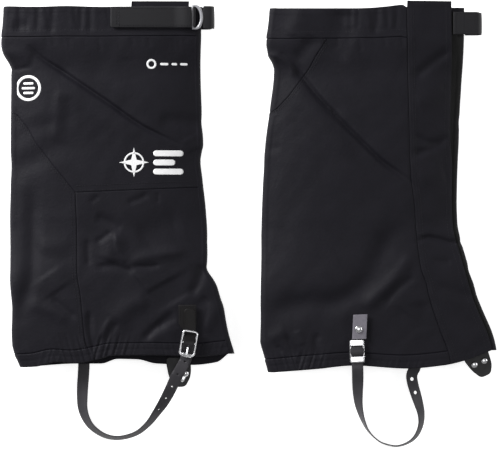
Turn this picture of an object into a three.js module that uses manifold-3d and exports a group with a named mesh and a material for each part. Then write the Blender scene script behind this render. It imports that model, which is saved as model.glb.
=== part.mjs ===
// A pair of hiking gaiters laid flat side by side, toe edges towards +X, tops towards +Y.
// The right-foot gaiter lies with its lateral side up, the left-foot one with its medial side up.
// Each gaiter is a flattened tube. A point on it is (s, h, depth): s runs round the tube,
// 0-1 lateral side from front to rear, 1-2 rear roll, 2-3 medial side from rear to front,
// 3-4 front roll; h runs from the bottom hem (0) to the top (1); depth goes inwards.
import * as THREE from 'three';
import { mergeVertices } from 'three/addons/utils/BufferGeometryUtils.js';
import Module from 'manifold-3d';

const wasm = await Module();
wasm.setup();

// ---- driving dimensions, mm ----
const ROLL = 7;                 // radius of the rolled rear and front edges
const PANEL = 1.1;              // fabric layer
const GAP = 0.3;                // air between neighbours
const SEAM = 0.0035;            // half a seam gap, as a share of the tube's s or h
const BULGE = { top: 6, middle: 13, bottom: 6 };
const LIFT = { top: 7.6, bottom: 9.8 };  // lower side rides up over the hardware beneath it
const TOP_HEM = 0.916;          // height share where the top casing starts
const BOTTOM_HEM = 0.036;       // height share where the bottom casing ends
const CROSS_SEAM = 0.478;       // height share of the seam above the lower panel
const REAR_SEAM = 0.673;        // s of the vertical seam behind the lower panel
const FLAP_HINGE = { top: 62.7, bottom: 51.7 };   // behind the front edge
const FLAP_EDGE = { top: 15.4, bottom: 8.4 };     // behind the front edge
const FLAP_TOP = 1.018;
const STRAP = { width: 12.6, thick: 1.5 };
const WEBBING = { width: 23, thick: 1.4 };
const CINCH_WIDTH = 21;
const WIRE = 1.2;               // buckle wire radius
const RING_WIRE = 1.3;
const BUCKLE = { width: 15.6, length: 26 };       // wire centre lines

// The pair: outlines as [height share, x] along the rear and front edges, and the bottom edge
// as [share from rear to front, y].
const RIGHT = {
  prefix: 'right', lateralUp: true, top: 239.8, bottom: [[0, -156.2], [1, -139.7]],
  rear: [[0, -251.9], [0.064, -260.7], [0.19, -261.8], [0.6, -262.9], [0.82, -261.8],
    [0.897, -272.8], [1.02, -269.5]],
  front: [[0, -15.4], [0.046, -20.9], [0.186, -34.1], [0.255, -45.1], [0.325, -45.1],
    [0.5, -50.6], [0.554, -53], [0.603, -50.6], [0.846, -52.8], [1.02, -50.6]],
  ringX: -61.6, ringY: 227.7, foldX: -38.6,
  buckle: { x: -66, y: -129.3, turn: -10 },
  tipEnd: -17.6, holdEnd: -18.6,
  strapPath: [[-70, -149.4, 29.6], [-74, -156.5, 29.2], [-80, -167, 27], [-85, -178, 22.5],
    [-90, -188, 17.5], [-95.5, -197.5, 13], [-102, -207, 9.6], [-110.5, -218.5, 7.4],
    [-122, -228.5, 6.4], [-135, -233.6, 6.2], [-148, -234.9, 6.2], [-161, -231.6, 6.2],
    [-173, -223.3, 6.2], [-180, -213, 6.2], [-183.4, -202, 6.4], [-183.9, -190, 7],
    [-183.4, -177, 7.6], [-182.5, -165, 8.1], [-182, -154.8, 8.3]],
  strapTwist: [0, 0, 4, 10, 20, 32, 46, 58, 64, 66, 66, 62, 54, 44, 32, 20, 8, 2, 0],
  anchor: { x: -182, y: -133.4, turn: 0 },
  tab: [[-90.9, -146], [-90.9, -154.4], [-88.1, -167.8], [-80.7, -178.6], [-69.9, -178],
    [-65, -168.5], [-63.8, -162.1], [-64.2, -146]],
  tabLevel: 12.5,
  hook: { x: -70, y: -163.3, faceUp: true, aim: [-3.6, -6.6] },
};
const LEFT = {
  prefix: 'left', lateralUp: false, top: 238.7,
  bottom: [[0, -161.7], [0.21, -156.8], [0.36, -154.6], [0.6, -156.4], [0.775, -153],
    [0.88, -147.6], [1, -137.5]],
  rear: [[0, 20.9], [0.044, 16.5], [0.088, 12.1], [0.46, 14.3], [0.593, 16.5], [0.725, 23.1],
    [0.824, 27.5], [0.901, 18.7], [1.02, 24.2]],
  front: [[0, 272.8], [0.029, 270.6], [0.146, 253], [0.287, 237.6], [0.357, 231],
    [0.427, 229.9], [0.637, 232.1], [0.848, 236.5], [1.02, 237.6]],
  ringX: 226.6, ringY: 221.5, foldX: 255.6,
  buckle: { x: 196.5, y: -133, turn: -30 },
  tipEnd: -25.4, holdEnd: -20.9,
  strapPath: [[182.5, -158.2, 8], [179.5, -165.5, 7.6], [180.6, -175, 7.2],
    [184.4, -188, 6.8], [187.4, -198, 6.6], [189.8, -208, 6.6], [189.7, -219.5, 6.6],
    [185, -231.5, 6.6], [176.5, -239.6, 6.6], [163, -243.9, 6.6], [148, -240.8, 6.6],
    [139.5, -235.5, 6.6], [131.5, -227, 6.8], [126.6, -217.5, 7.4], [123, -207, 9.5],
    [120.6, -196, 13.5], [119.6, -184, 18.5], [119.3, -173, 24], [119.1, -165, 28.6],
    [118.9, -158.6, 30.9]],
  strapTwist: [0, 8, 16, 26, 38, 50, 60, 66, 74, 80, 84, 86, 82, 74, 62, 48, 32, 16, 4, 0],
  anchor: { x: 118, y: -133.5, turn: 2 },
  tab: [[236.5, -136], [236.5, -149.6], [245.3, -160.6], [255.2, -168.3], [266.2, -163.4],
    [267.3, -152.9], [264, -141.5], [262, -136]],
  tabLevel: 14,
  hook: { x: 253.5, y: -151.5, faceUp: false, aim: [-6.2, -3.2] },
};

// ---- colours ----
const COLOURS = {
  fabric: [0x1d1c21, 0.85, 0], lining: [0x17171a, 0.9, 0], tape: [0x0f0f10, 1, 0],
  webbing: [0x121213, 0.9, 0], elastic: [0x1a1a1c, 0.95, 0], strap: [0x3c3b40, 0.55, 0],
  leather: [0x6d6a74, 0.7, 0], chrome: [0xd8d8dc, 0.2, 1], ring: [0x55555c, 0.4, 0.3],
};

// ---- maths helpers ----
const lerp = THREE.MathUtils.lerp;
const ramp = (x, from, to) => THREE.MathUtils.smoothstep(x, from, to);
const degrees = THREE.MathUtils.degToRad;

function along(table, x) {
  for (let i = 1; i < table.length; i += 1) {
    const [x0, y0] = table[i - 1];
    const [x1, y1] = table[i];
    if (x <= x1) return lerp(y0, y1, Math.max(0, (x - x0) / (x1 - x0)));
  }
  return table.at(-1)[1];
}

const steps = (from, to, count) =>
  Array.from({ length: count + 1 }, (_, i) => lerp(from, to, i / count));

// ---- closed solids from grids of points ----
function closedGrid(points, rows, columns, wrapRows, wrapColumns) {
  const index = [];
  const at = (i, j) => (i % rows) * columns + (j % columns);
  for (let i = 0; i < (wrapRows ? rows : rows - 1); i += 1) {
    for (let j = 0; j < (wrapColumns ? columns : columns - 1); j += 1) {
      index.push(at(i, j), at(i + 1, j), at(i + 1, j + 1));
      index.push(at(i, j), at(i + 1, j + 1), at(i, j + 1));
    }
  }
  return outward(points, index);
}

function outward(points, index) {
  let volume = 0;
  for (let k = 0; k < index.length; k += 3) {
    const [a, b, c] = [points[index[k]], points[index[k + 1]], points[index[k + 2]]];
    volume += a.dot(b.clone().cross(c));
  }
  if (volume < 0) index.reverse();
  const geometry = new THREE.BufferGeometry().setFromPoints(points);
  geometry.setIndex(index);
  geometry.computeVertexNormals();
  return geometry;
}

// A slab between an outer and an inner surface: point(u, row, side) with side 0 outer, 1 inner.
function slab(point, us, rows) {
  const points = [];
  const n = us.length;
  for (const row of rows) {
    for (let j = 0; j < n; j += 1) points.push(point(us[j], row, 0));
    for (let j = n - 1; j >= 0; j -= 1) points.push(point(us[j], row, 1));
  }
  const ring = 2 * n;
  const index = [];
  for (let i = 0; i + 1 < rows.length; i += 1) {
    for (let j = 0; j < ring; j += 1) {
      const k = (j + 1) % ring;
      index.push(i * ring + j, (i + 1) * ring + j, (i + 1) * ring + k);
      index.push(i * ring + j, (i + 1) * ring + k, i * ring + k);
    }
  }
  const last = (rows.length - 1) * ring;
  for (let j = 0; j + 1 < n; j += 1) {
    const [a, b, c, d] = [j, j + 1, ring - 2 - j, ring - 1 - j];
    index.push(a, b, c, a, c, d);
    index.push(last + a, last + c, last + b, last + a, last + d, last + c);
  }
  return outward(points, index);
}

// A flat strip of rectangular section along a path, its width direction given at each point.
function strip(path, widths, width, thick) {
  const rows = path.map((_, i) => i);
  const tangent = (i) => path[Math.min(i + 1, path.length - 1)].clone()
    .sub(path[Math.max(i - 1, 0)]).normalize();
  return slab((u, i, side) => {
    const across = widths[i].clone();
    const normal = across.clone().cross(tangent(i)).normalize();
    return path[i].clone().addScaledVector(across, u * width / 2)
      .addScaledVector(normal, (0.5 - side) * thick);
  }, [-1, 1], rows);
}

// A strip whose path lies in the plane across a fixed width direction.
function foldedStrip(path, across, width, thick) {
  return strip(path, path.map(() => across), width, thick);
}

// Round wire along a closed flat loop, in the plane across `normal`.
function wireLoop(path, normal, radius, sides = 8) {
  const points = [];
  const count = path.length;
  for (let i = 0; i < count; i += 1) {
    const before = path[(i + count - 1) % count];
    const after = path[(i + 1) % count];
    const side = after.clone().sub(before).normalize().cross(normal);
    for (let k = 0; k < sides; k += 1) {
      const angle = (2 * Math.PI * k) / sides;
      points.push(path[i].clone().addScaledVector(side, radius * Math.cos(angle))
        .addScaledVector(normal, radius * Math.sin(angle)));
    }
  }
  return closedGrid(points, count, sides, true, true);
}

// ---- booleans ----
function toSolid(geometry) {
  const plain = geometry.clone();
  plain.deleteAttribute('normal');
  plain.deleteAttribute('uv');
  const merged = mergeVertices(plain, 1e-4);
  return new wasm.Manifold(new wasm.Mesh({
    numProp: 3,
    vertProperties: new Float32Array(merged.attributes.position.array),
    triVerts: new Uint32Array(merged.index.array),
  }));
}

function toGeometry(solid) {
  const mesh = solid.getMesh();
  const geometry = new THREE.BufferGeometry();
  geometry.setAttribute('position', new THREE.BufferAttribute(mesh.vertProperties, 3));
  geometry.setIndex(new THREE.BufferAttribute(mesh.triVerts, 1));
  return geometry;
}

const joined = (...parts) => toGeometry(parts.map(toSolid).reduce((a, b) => a.add(b)));
const cut = (body, ...tools) =>
  toGeometry(tools.map(toSolid).reduce((a, b) => a.subtract(b), toSolid(body)));

function rod(from, to, radius, sides = 10) {
  const length = from.distanceTo(to);
  const geometry = new THREE.CylinderGeometry(radius, radius, length, sides);
  const turn = new THREE.Quaternion().setFromUnitVectors(
    new THREE.Vector3(0, 1, 0), to.clone().sub(from).normalize());
  geometry.applyQuaternion(turn);
  return geometry.translate(...from.clone().add(to).multiplyScalar(0.5).toArray());
}

function box(x0, x1, y0, y1, z0, z1) {
  return new THREE.BoxGeometry(x1 - x0, y1 - y0, z1 - z0)
    .translate((x0 + x1) / 2, (y0 + y1) / 2, (z0 + z1) / 2);
}

// ---- the flattened tube ----
class Tube {
  constructor(spec) {
    this.spec = spec;
  }

  rearX(h) { return along(this.spec.rear, h); }

  frontX(h) { return along(this.spec.front, h); }

  span(h) { return this.frontX(h) - this.rearX(h) - 2 * ROLL; }

  // s on the medial side for a distance behind the front edge
  medial(h, behind) { return 3 - (behind - ROLL) / this.span(h); }

  lateral(h, x) { return 1 - (x - this.rearX(h) - ROLL) / this.span(h); }

  medialAt(h, x) { return 2 + (x - this.rearX(h) - ROLL) / this.span(h); }

  y(t, h) {
    return lerp(along(this.spec.bottom, t), this.spec.top, h);
  }

  heightAt(t, y) {
    const bottom = along(this.spec.bottom, t);
    return (y - bottom) / (this.spec.top - bottom);
  }

  floor(h) { return LIFT.top * ramp(h, 0.8, 0.92) + LIFT.bottom * (1 - ramp(h, 0.21, 0.4)); }

  bulge(t, h) {
    const full = lerp(lerp(BULGE.bottom, BULGE.middle, ramp(h, 0.21, 0.42)), BULGE.top,
      ramp(h, 0.72, 0.93));
    return full * (1 - Math.abs(2 * t - 1) ** 3);
  }

  upper(t, h, depth) { return this.floor(h) + 2 * ROLL + this.bulge(t, h) - depth; }

  lower(t, h, depth) { return this.floor(h) + depth; }

  // z of the side a point of hardware lies on, `out` mm outside the fabric
  sideLevel(lateral, t, h, out) {
    const up = lateral === this.spec.lateralUp;
    return up ? this.upper(t, h, -out) : this.lower(t, h, -out);
  }

  point(s, h, depth) {
    const part = Math.min(3, Math.floor(s));
    const f = s - part;
    const rear = this.rearX(h) + ROLL;
    const front = this.frontX(h) - ROLL;
    const flip = this.spec.lateralUp ? 1 : -1;
    if (part === 0 || part === 2) {
      const t = part === 0 ? 1 - f : f;
      const up = (part === 0) === this.spec.lateralUp;
      const z = up ? this.upper(t, h, depth) : this.lower(t, h, depth);
      return new THREE.Vector3(lerp(rear, front, t), this.y(t, h), z);
    }
    const angle = Math.PI * f;
    const radius = ROLL - depth;
    const t = part === 1 ? 0 : 1;
    const out = radius * Math.sin(angle);
    const rise = radius * Math.cos(angle) * flip * (part === 1 ? 1 : -1);
    const x = part === 1 ? rear - out : front + out;
    return new THREE.Vector3(x, this.y(t, h), this.floor(h) + ROLL + rise);
  }
}

// A patch of the tube between s limits that change with height, and two depths.
function patch(tube, from, to, outer, inner, columns, rows) {
  const value = (f, h, s) => (typeof f === 'function' ? f(h, s) : f);
  return slab((u, h, side) => {
    const s = lerp(value(from, h), value(to, h), u);
    return tube.point(s, h, value(side === 0 ? outer : inner, h, s));
  }, steps(0, 1, columns), rows);
}

// ---- seams ----
// The seam between the upper and the rear panel climbs across the lateral side,
// round the rear roll and on across the medial side.
const DIAGONAL = [[CROSS_SEAM, REAR_SEAM], [0.53, 0.75], [0.62, 0.89], [0.665, 0.94], [0.7, 1],
  [0.72, 2], [0.755, 2.06], [0.803, 2.122], [0.845, 2.185], [0.893, 2.27], [1, 2.4]];
const panelRows = [CROSS_SEAM, 0.53, 0.58, 0.62, 0.67, 0.7, 0.71, 0.72, 0.73, 0.74, 0.79, 0.835,
  0.88, TOP_HEM];
const lowerRows = [BOTTOM_HEM, 0.15, 0.21, 0.26, 0.31, 0.36, 0.42, CROSS_SEAM];
const inset = (rows) => rows.map((h, i) => {
  if (i === 0) return h + SEAM / 2;
  return i === rows.length - 1 ? h - SEAM / 2 : h;
});

const edgeBehind = (h) => lerp(FLAP_EDGE.bottom, FLAP_EDGE.top, ramp(h, 0.4, 1));

function chordX(tube, h) {
  const bottom = tube.frontX(0) - FLAP_HINGE.bottom;
  const top = tube.frontX(1) - FLAP_HINGE.top;
  return lerp(bottom, top, h);
}

const medialEnd = (tube) => (h) => tube.medialAt(h, chordX(tube, h) - 1);
const LATERAL_FRONT = 0.004;

function upperPanel(tube) {
  return patch(tube, LATERAL_FRONT, (h) => along(DIAGONAL, h) - SEAM, 0, PANEL, 14,
    inset(panelRows));
}

function lowerPanel(tube) {
  return patch(tube, LATERAL_FRONT, REAR_SEAM - SEAM, 0, PANEL, 9, inset(lowerRows));
}

function rearPanel(tube) {
  const rows = inset([...lowerRows, ...panelRows.slice(1)]);
  return patch(tube, (h) => Math.max(REAR_SEAM, along(DIAGONAL, h)) + SEAM, medialEnd(tube),
    0, PANEL, 15, rows);
}

function hemLayer(tube, rows, outer, thick, from, to) {
  return patch(tube, from, to, outer, outer + thick, 16, inset(rows));
}

// ---- front closure ----
const UNDER = 3.6;              // depth of the underflap below the flap and the tapes
const underDepth = (h, s) => UNDER * (1 - ramp(s, 2.9, 3.7));
const closureRows = [0.002, 0.04, 0.15, 0.21, 0.26, 0.31, 0.36, 0.42, 0.6, 0.8, 0.86, 0.92, 0.99];

function underflap(tube) {
  return patch(tube, (h) => tube.medialAt(h, chordX(tube, h) + 4), 4 - LATERAL_FRONT,
    underDepth, (h, s) => underDepth(h, s) + 1, 12, closureRows);
}

function loopTape(tube) {
  return patch(tube, (h) => tube.medialAt(h, chordX(tube, h) + 6), 3.2,
    (h, s) => underDepth(h, s) - 1.2, (h, s) => underDepth(h, s) - 0.6, 7,
    closureRows.slice(1, -1));
}

function hookTape(tube) {
  return patch(tube, (h) => tube.medialAt(h, chordX(tube, h) + 6),
    (h) => tube.medial(h, edgeBehind(h) + 2), PANEL + GAP - 0.1, PANEL + GAP + 0.6, 6,
    closureRows.slice(1, -1));
}

function frontFlap(tube) {
  const rows = [...closureRows.slice(0, -1), 0.985, FLAP_TOP];
  return patch(tube, (h) => tube.medialAt(h, chordX(tube, h) + 1),
    (h) => tube.medial(Math.min(h, 1), edgeBehind(Math.min(h, 1))), 0, PANEL, 8, rows);
}

// ---- top cinch ----
// All of it is laid out in the X-Z plane of the lateral side and runs along Y for its width.
function cinch(tube, spec) {
  const t = (spec.ringX - tube.rearX(0.96) - ROLL) / tube.span(0.96);
  const h = tube.heightAt(t, spec.ringY);
  const out = spec.lateralUp ? 1 : -1;
  const skin = (x) => {
    const share = (x - tube.rearX(h) - ROLL) / tube.span(h);
    return tube.sideLevel(true, share, h, 0);
  };
  const across = new THREE.Vector3(0, 1, 0);
  const at = (x, lift) => new THREE.Vector3(x, spec.ringY, skin(x) + out * lift);
  const low = GAP + WEBBING.thick / 2;
  const loop = RING_WIRE + 2 * GAP + WEBBING.thick / 2;
  const barLift = low + loop;
  const bar = at(spec.ringX, barLift);
  const start = spec.ringX - 88;
  const base = steps(start, spec.ringX - 4, 8).map((x) => at(x, low));
  for (const angle of steps(-90, 80, 6)) {
    base.push(new THREE.Vector3(bar.x + loop * Math.cos(degrees(angle)), bar.y,
      bar.z + out * loop * Math.sin(degrees(angle))));
  }
  const tailLift = low + WEBBING.thick + GAP;
  const tail = steps(start - 2, spec.ringX - 1.6, 9)
    .map((x) => at(x, lerp(tailLift, barLift + loop, ramp(x, spec.ringX - 22, spec.ringX - 4))));
  const half = 12.4;
  const arc = 7.2;
  const ring = [];
  for (const y of steps(-half, half, 1)) ring.push(new THREE.Vector3(bar.x, bar.y + y, bar.z));
  for (const angle of steps(80, -80, 8)) {
    ring.push(new THREE.Vector3(bar.x + 2.5 + arc * Math.cos(degrees(angle)),
      bar.y + half * Math.sin(degrees(angle)), bar.z));
  }
  return {
    bar,
    base: foldedStrip(base, across, CINCH_WIDTH, WEBBING.thick),
    tail: foldedStrip(tail, across, CINCH_WIDTH, WEBBING.thick),
    ring: wireLoop(ring, new THREE.Vector3(0, 0, 1), RING_WIRE, 7),
  };
}

function ringWebbing(tube, spec, bar) {
  const out = spec.lateralUp ? 1 : -1;
  const h = tube.heightAt(1, spec.ringY);
  const front = tube.frontX(h);
  const back = tube.sideLevel(false, 1, h, GAP + WEBBING.thick / 2);
  const centre = (bar.z + back) / 2;
  const radius = Math.abs(bar.z - back) / 2;
  const path = [new THREE.Vector3(spec.ringX + 11.6, bar.y, bar.z)];
  const fold = spec.foldX - 6;
  path.push(new THREE.Vector3(fold - 2, bar.y, bar.z));
  for (const angle of steps(75, -75, 8)) {
    path.push(new THREE.Vector3(fold + 6 * Math.cos(degrees(angle)), bar.y,
      centre + out * radius * Math.sin(degrees(angle))));
  }
  path.push(new THREE.Vector3(fold - 3, bar.y, back));
  path.push(new THREE.Vector3(front - FLAP_EDGE.top + 2.5, bar.y, back));
  return foldedStrip(path, new THREE.Vector3(0, 1, 0), WEBBING.width, WEBBING.thick);
}

// ---- hardware frames: local +Y up the strap, +Z away from the fabric ----
function placed(geometry, spot, level, up) {
  const turn = new THREE.Matrix4().makeRotationZ(degrees(spot.turn));
  const flip = new THREE.Matrix4().makeScale(1, 1, up ? 1 : -1);
  const move = new THREE.Matrix4().makeTranslation(spot.x, spot.y, level);
  const whole = move.multiply(flip).multiply(turn);
  const result = geometry.clone().applyMatrix4(whole);
  if (!up) {
    const flat = result.index ? result.toNonIndexed() : result;
    const array = flat.attributes.position.array;
    for (let i = 0; i < array.length; i += 9) {
      for (let k = 0; k < 3; k += 1) {
        [array[i + 3 + k], array[i + 6 + k]] = [array[i + 6 + k], array[i + 3 + k]];
      }
    }
    flat.deleteAttribute('normal');
    return flat;
  }
  return result;
}

const yz = (points) => points.map(([y, z]) => new THREE.Vector3(0, y, z));
const LEAN = { slope: 0.2, from: 10 };  // the sewn end stands upright while the buckle is turned
const leaning = (points) => points.map(([y, z]) =>
  new THREE.Vector3(-LEAN.slope * Math.max(0, y - LEAN.from), y, z));
const ACROSS = new THREE.Vector3(1, 0, 0);
const BAR_LEVEL = 4.9;          // buckle wire above the fabric

function buckleFrame() {
  const corner = 2.6;
  const path = [];
  const half = { x: BUCKLE.width / 2, y: BUCKLE.length / 2 };
  for (const [sx, sy, start] of [[1, 1, 0], [-1, 1, 90], [-1, -1, 180], [1, -1, 270]]) {
    for (const angle of steps(start, start + 90, 4)) {
      path.push(new THREE.Vector3(
        sx * (half.x - corner) + corner * Math.cos(degrees(angle)),
        sy * (half.y - corner) + corner * Math.sin(degrees(angle)), BAR_LEVEL));
    }
  }
  const loop = wireLoop(path, new THREE.Vector3(0, 0, 1), WIRE);
  const bar = rod(new THREE.Vector3(-half.x, 0, BAR_LEVEL),
    new THREE.Vector3(half.x, 0, BAR_LEVEL), 1.05, 10);
  return joined(loop, bar);
}

function buckleRoller() {
  const half = BUCKLE.width / 2 - 3.1;
  const y = -BUCKLE.length / 2;
  const inner = WIRE + GAP;
  const profile = [[inner, -half], [inner + 0.8, -half], [inner + 0.8, half], [inner, half],
    [inner, -half]].map(([r, z]) => new THREE.Vector2(r, z));
  return new THREE.LatheGeometry(profile, 12).rotateZ(Math.PI / 2).translate(0, y, BAR_LEVEL);
}

function buckleProng() {
  const eye = new THREE.LatheGeometry([[1.35, -1.2], [2.3, -1.2], [2.3, 1.2], [1.35, 1.2],
    [1.35, -1.2]].map(([r, z]) => new THREE.Vector2(r, z)), 12).rotateZ(Math.PI / 2)
    .translate(0, 0, BAR_LEVEL);
  const top = BAR_LEVEL + WIRE + GAP + 0.8 + GAP + 0.9;
  const points = yz([[-2, BAR_LEVEL + 0.4], [-6, BAR_LEVEL + 1.2], [-10, top - 0.3],
    [-12, top], [-15.2, top - 0.2]]);
  const shaft = foldedStrip(points, ACROSS, 1.9, 1.6);
  return joined(eye, shaft);
}

function buckleChape() {
  const path = leaning([[40, 0.9], [LEAN.from, 0.9], [5, 1.4]]);
  for (const angle of steps(-70, -290, 8)) {
    const reach = 1.05 + GAP + 0.55;
    path.push(new THREE.Vector3(0, reach * Math.cos(degrees(angle)),
      BAR_LEVEL + reach * Math.sin(degrees(angle))));
  }
  path.push(...yz([[4.2, 5]]));
  const body = foldedStrip(path, ACROSS, 12.4, 1.1);
  return cut(body, box(-1.9, 1.9, -4, 3.4, -2, 12));
}

// The strap's lateral end, from the hem up through the buckle to its tip.
function strapTip(end) {
  const path = yz([[end, 1.2], [-13, 1.15], [-10.4, 1.8], [-6.6, 4.9], [-3.4, 7.6],
    [-1.2, 8.5], [1.2, 8.5], [3.6, 7.6]]);
  path.push(...leaning([[7, 4.4], [10, 2.7], [13, 2.45], [17, 2.35], [38.5, 2.35]]));
  const body = foldedStrip(path, ACROSS, STRAP.width, 1.3);
  return cut(body, box(-1.6, 1.6, -11.6, 0.4, -1, 12));
}

// ---- medial anchor ----
const SLIDE = { y: -4.6, width: 16, length: 24.4, bar: 6.2, side: 1.4, low: 2.4, high: 3.5 };
const LEATHER = { x: 3.9, width: 15.4, from: 8.4, to: 35.4 };
const RIVET = { x: 2.5, y: 19.4, shank: 1.6 };

function anchorSlide() {
  const { width, length, bar, side, low, high } = SLIDE;
  const plate = box(-width / 2, width / 2, -length / 2, length / 2, low, high);
  const gap = (length / 2 - bar - 1) / 2;
  const centre = 1 + gap;
  const windows = [-centre, centre].map((y) =>
    box(-width / 2 + side, width / 2 - side, y - gap, y + gap, low - 1, high + 1));
  return cut(plate, ...windows).translate(0, SLIDE.y, 0);
}

function strapHold(end) {
  const overBar = [[-7.4, 1.1], [-5.6, 1.35], [-1.6, 4.75], [0, 5.05], [1.6, 4.75], [5.6, 1.35],
    [7.4, 1.1]].map(([y, z]) => [y + SLIDE.y, z]);
  const path = yz([[end, 1.15], ...overBar, [30, 1.1]]);
  const body = foldedStrip(path, ACROSS, STRAP.width, 1.3);
  const hole = rod(new THREE.Vector3(RIVET.x, RIVET.y, -1), new THREE.Vector3(RIVET.x, RIVET.y, 4),
    RIVET.shank + GAP, 12);
  return cut(body, hole);
}

function anchorTab() {
  const { x, width, from, to } = LEATHER;
  const shape = box(x - width / 2, x + width / 2, from, to, 2.1, 3.9);
  const hole = rod(new THREE.Vector3(RIVET.x, RIVET.y, 0), new THREE.Vector3(RIVET.x, RIVET.y, 8),
    RIVET.shank + GAP, 12);
  return cut(shape, hole);
}

function anchorRivet() {
  const profile = [[0, 0.5], [RIVET.shank, 0.5], [RIVET.shank, 4.2], [3.9, 4.2], [3.9, 4.7],
    [3.2, 5.5], [1.8, 6], [0, 6.1]].map(([r, z]) => new THREE.Vector2(r, z));
  return new THREE.LatheGeometry(profile, 16).rotateX(Math.PI / 2)
    .translate(RIVET.x, RIVET.y, 0);
}

// ---- instep strap ----
function instepStrap(spec) {
  const path = spec.strapPath.map(([x, y, z]) => new THREE.Vector3(x, y, z));
  const up = new THREE.Vector3(0, 0, 1);
  const widths = path.map((p, i) => {
    const flat = path[Math.min(i + 1, path.length - 1)].clone()
      .sub(path[Math.max(i - 1, 0)]).setZ(0).normalize();
    const side = flat.clone().cross(up);
    const twist = degrees(spec.strapTwist[i]);
    return side.multiplyScalar(Math.cos(twist)).addScaledVector(up, Math.sin(twist));
  });
  return strip(path, widths, STRAP.width, STRAP.thick);
}

// ---- lace hook ----
function laceTab(spec) {
  const shape = new THREE.Shape(spec.tab.map(([x, y]) => new THREE.Vector2(x, y)));
  return new THREE.ExtrudeGeometry(shape, { depth: 1.8, bevelEnabled: false })
    .translate(0, 0, spec.tabLevel - 0.9);
}

function laceHook(spec) {
  const { x, y, faceUp, aim } = spec.hook;
  const out = faceUp ? 1 : -1;
  const face = spec.tabLevel + out * (0.9 + GAP);
  const direction = new THREE.Vector3(aim[0], aim[1], 0).normalize();
  const lift = (distance, level) => new THREE.Vector3(x, y, face + out * level)
    .addScaledVector(direction, distance);
  const across = direction.clone().cross(new THREE.Vector3(0, 0, 1));
  const path = [lift(-3.4, 0.5), lift(4, 0.5), lift(8.2, 0.6), lift(9.4, 1.4), lift(9.6, 2.6),
    lift(8.8, 3.6), lift(6.6, 4)];
  return foldedStrip(path, across, 5.2, 0.9);
}

function laceRivet(spec) {
  const { x, y, faceUp } = spec.hook;
  const out = faceUp ? -1 : 1;
  const profile = [[0, 0], [3, 0], [3, 0.4], [2.2, 1.1], [0, 1.5]]
    .map(([r, z]) => new THREE.Vector2(r, z));
  const dome = new THREE.LatheGeometry(profile, 14).rotateX(Math.PI / 2);
  if (out < 0) dome.rotateX(Math.PI);
  return dome.translate(x, y, spec.tabLevel + out * (0.9 + GAP));
}

function laceDome(spec) {
  const { x, y, faceUp } = spec.hook;
  const out = faceUp ? 1 : -1;
  const profile = [[0, 0], [3.2, 0], [3.2, 0.6], [2.4, 1.6], [0, 2.2]]
    .map(([r, z]) => new THREE.Vector2(r, z));
  const dome = new THREE.LatheGeometry(profile, 14).rotateX(Math.PI / 2);
  if (out < 0) dome.rotateX(Math.PI);
  return dome.translate(x, y, spec.tabLevel + out * (0.9 + GAP + 1 + GAP));
}

// ---- assembly ----
function add(group, name, geometry, look) {
  const [color, roughness, metalness] = COLOURS[look];
  const mesh = new THREE.Mesh(geometry,
    new THREE.MeshStandardMaterial({ color, roughness, metalness }));
  mesh.name = name;
  group.add(mesh);
}

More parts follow.
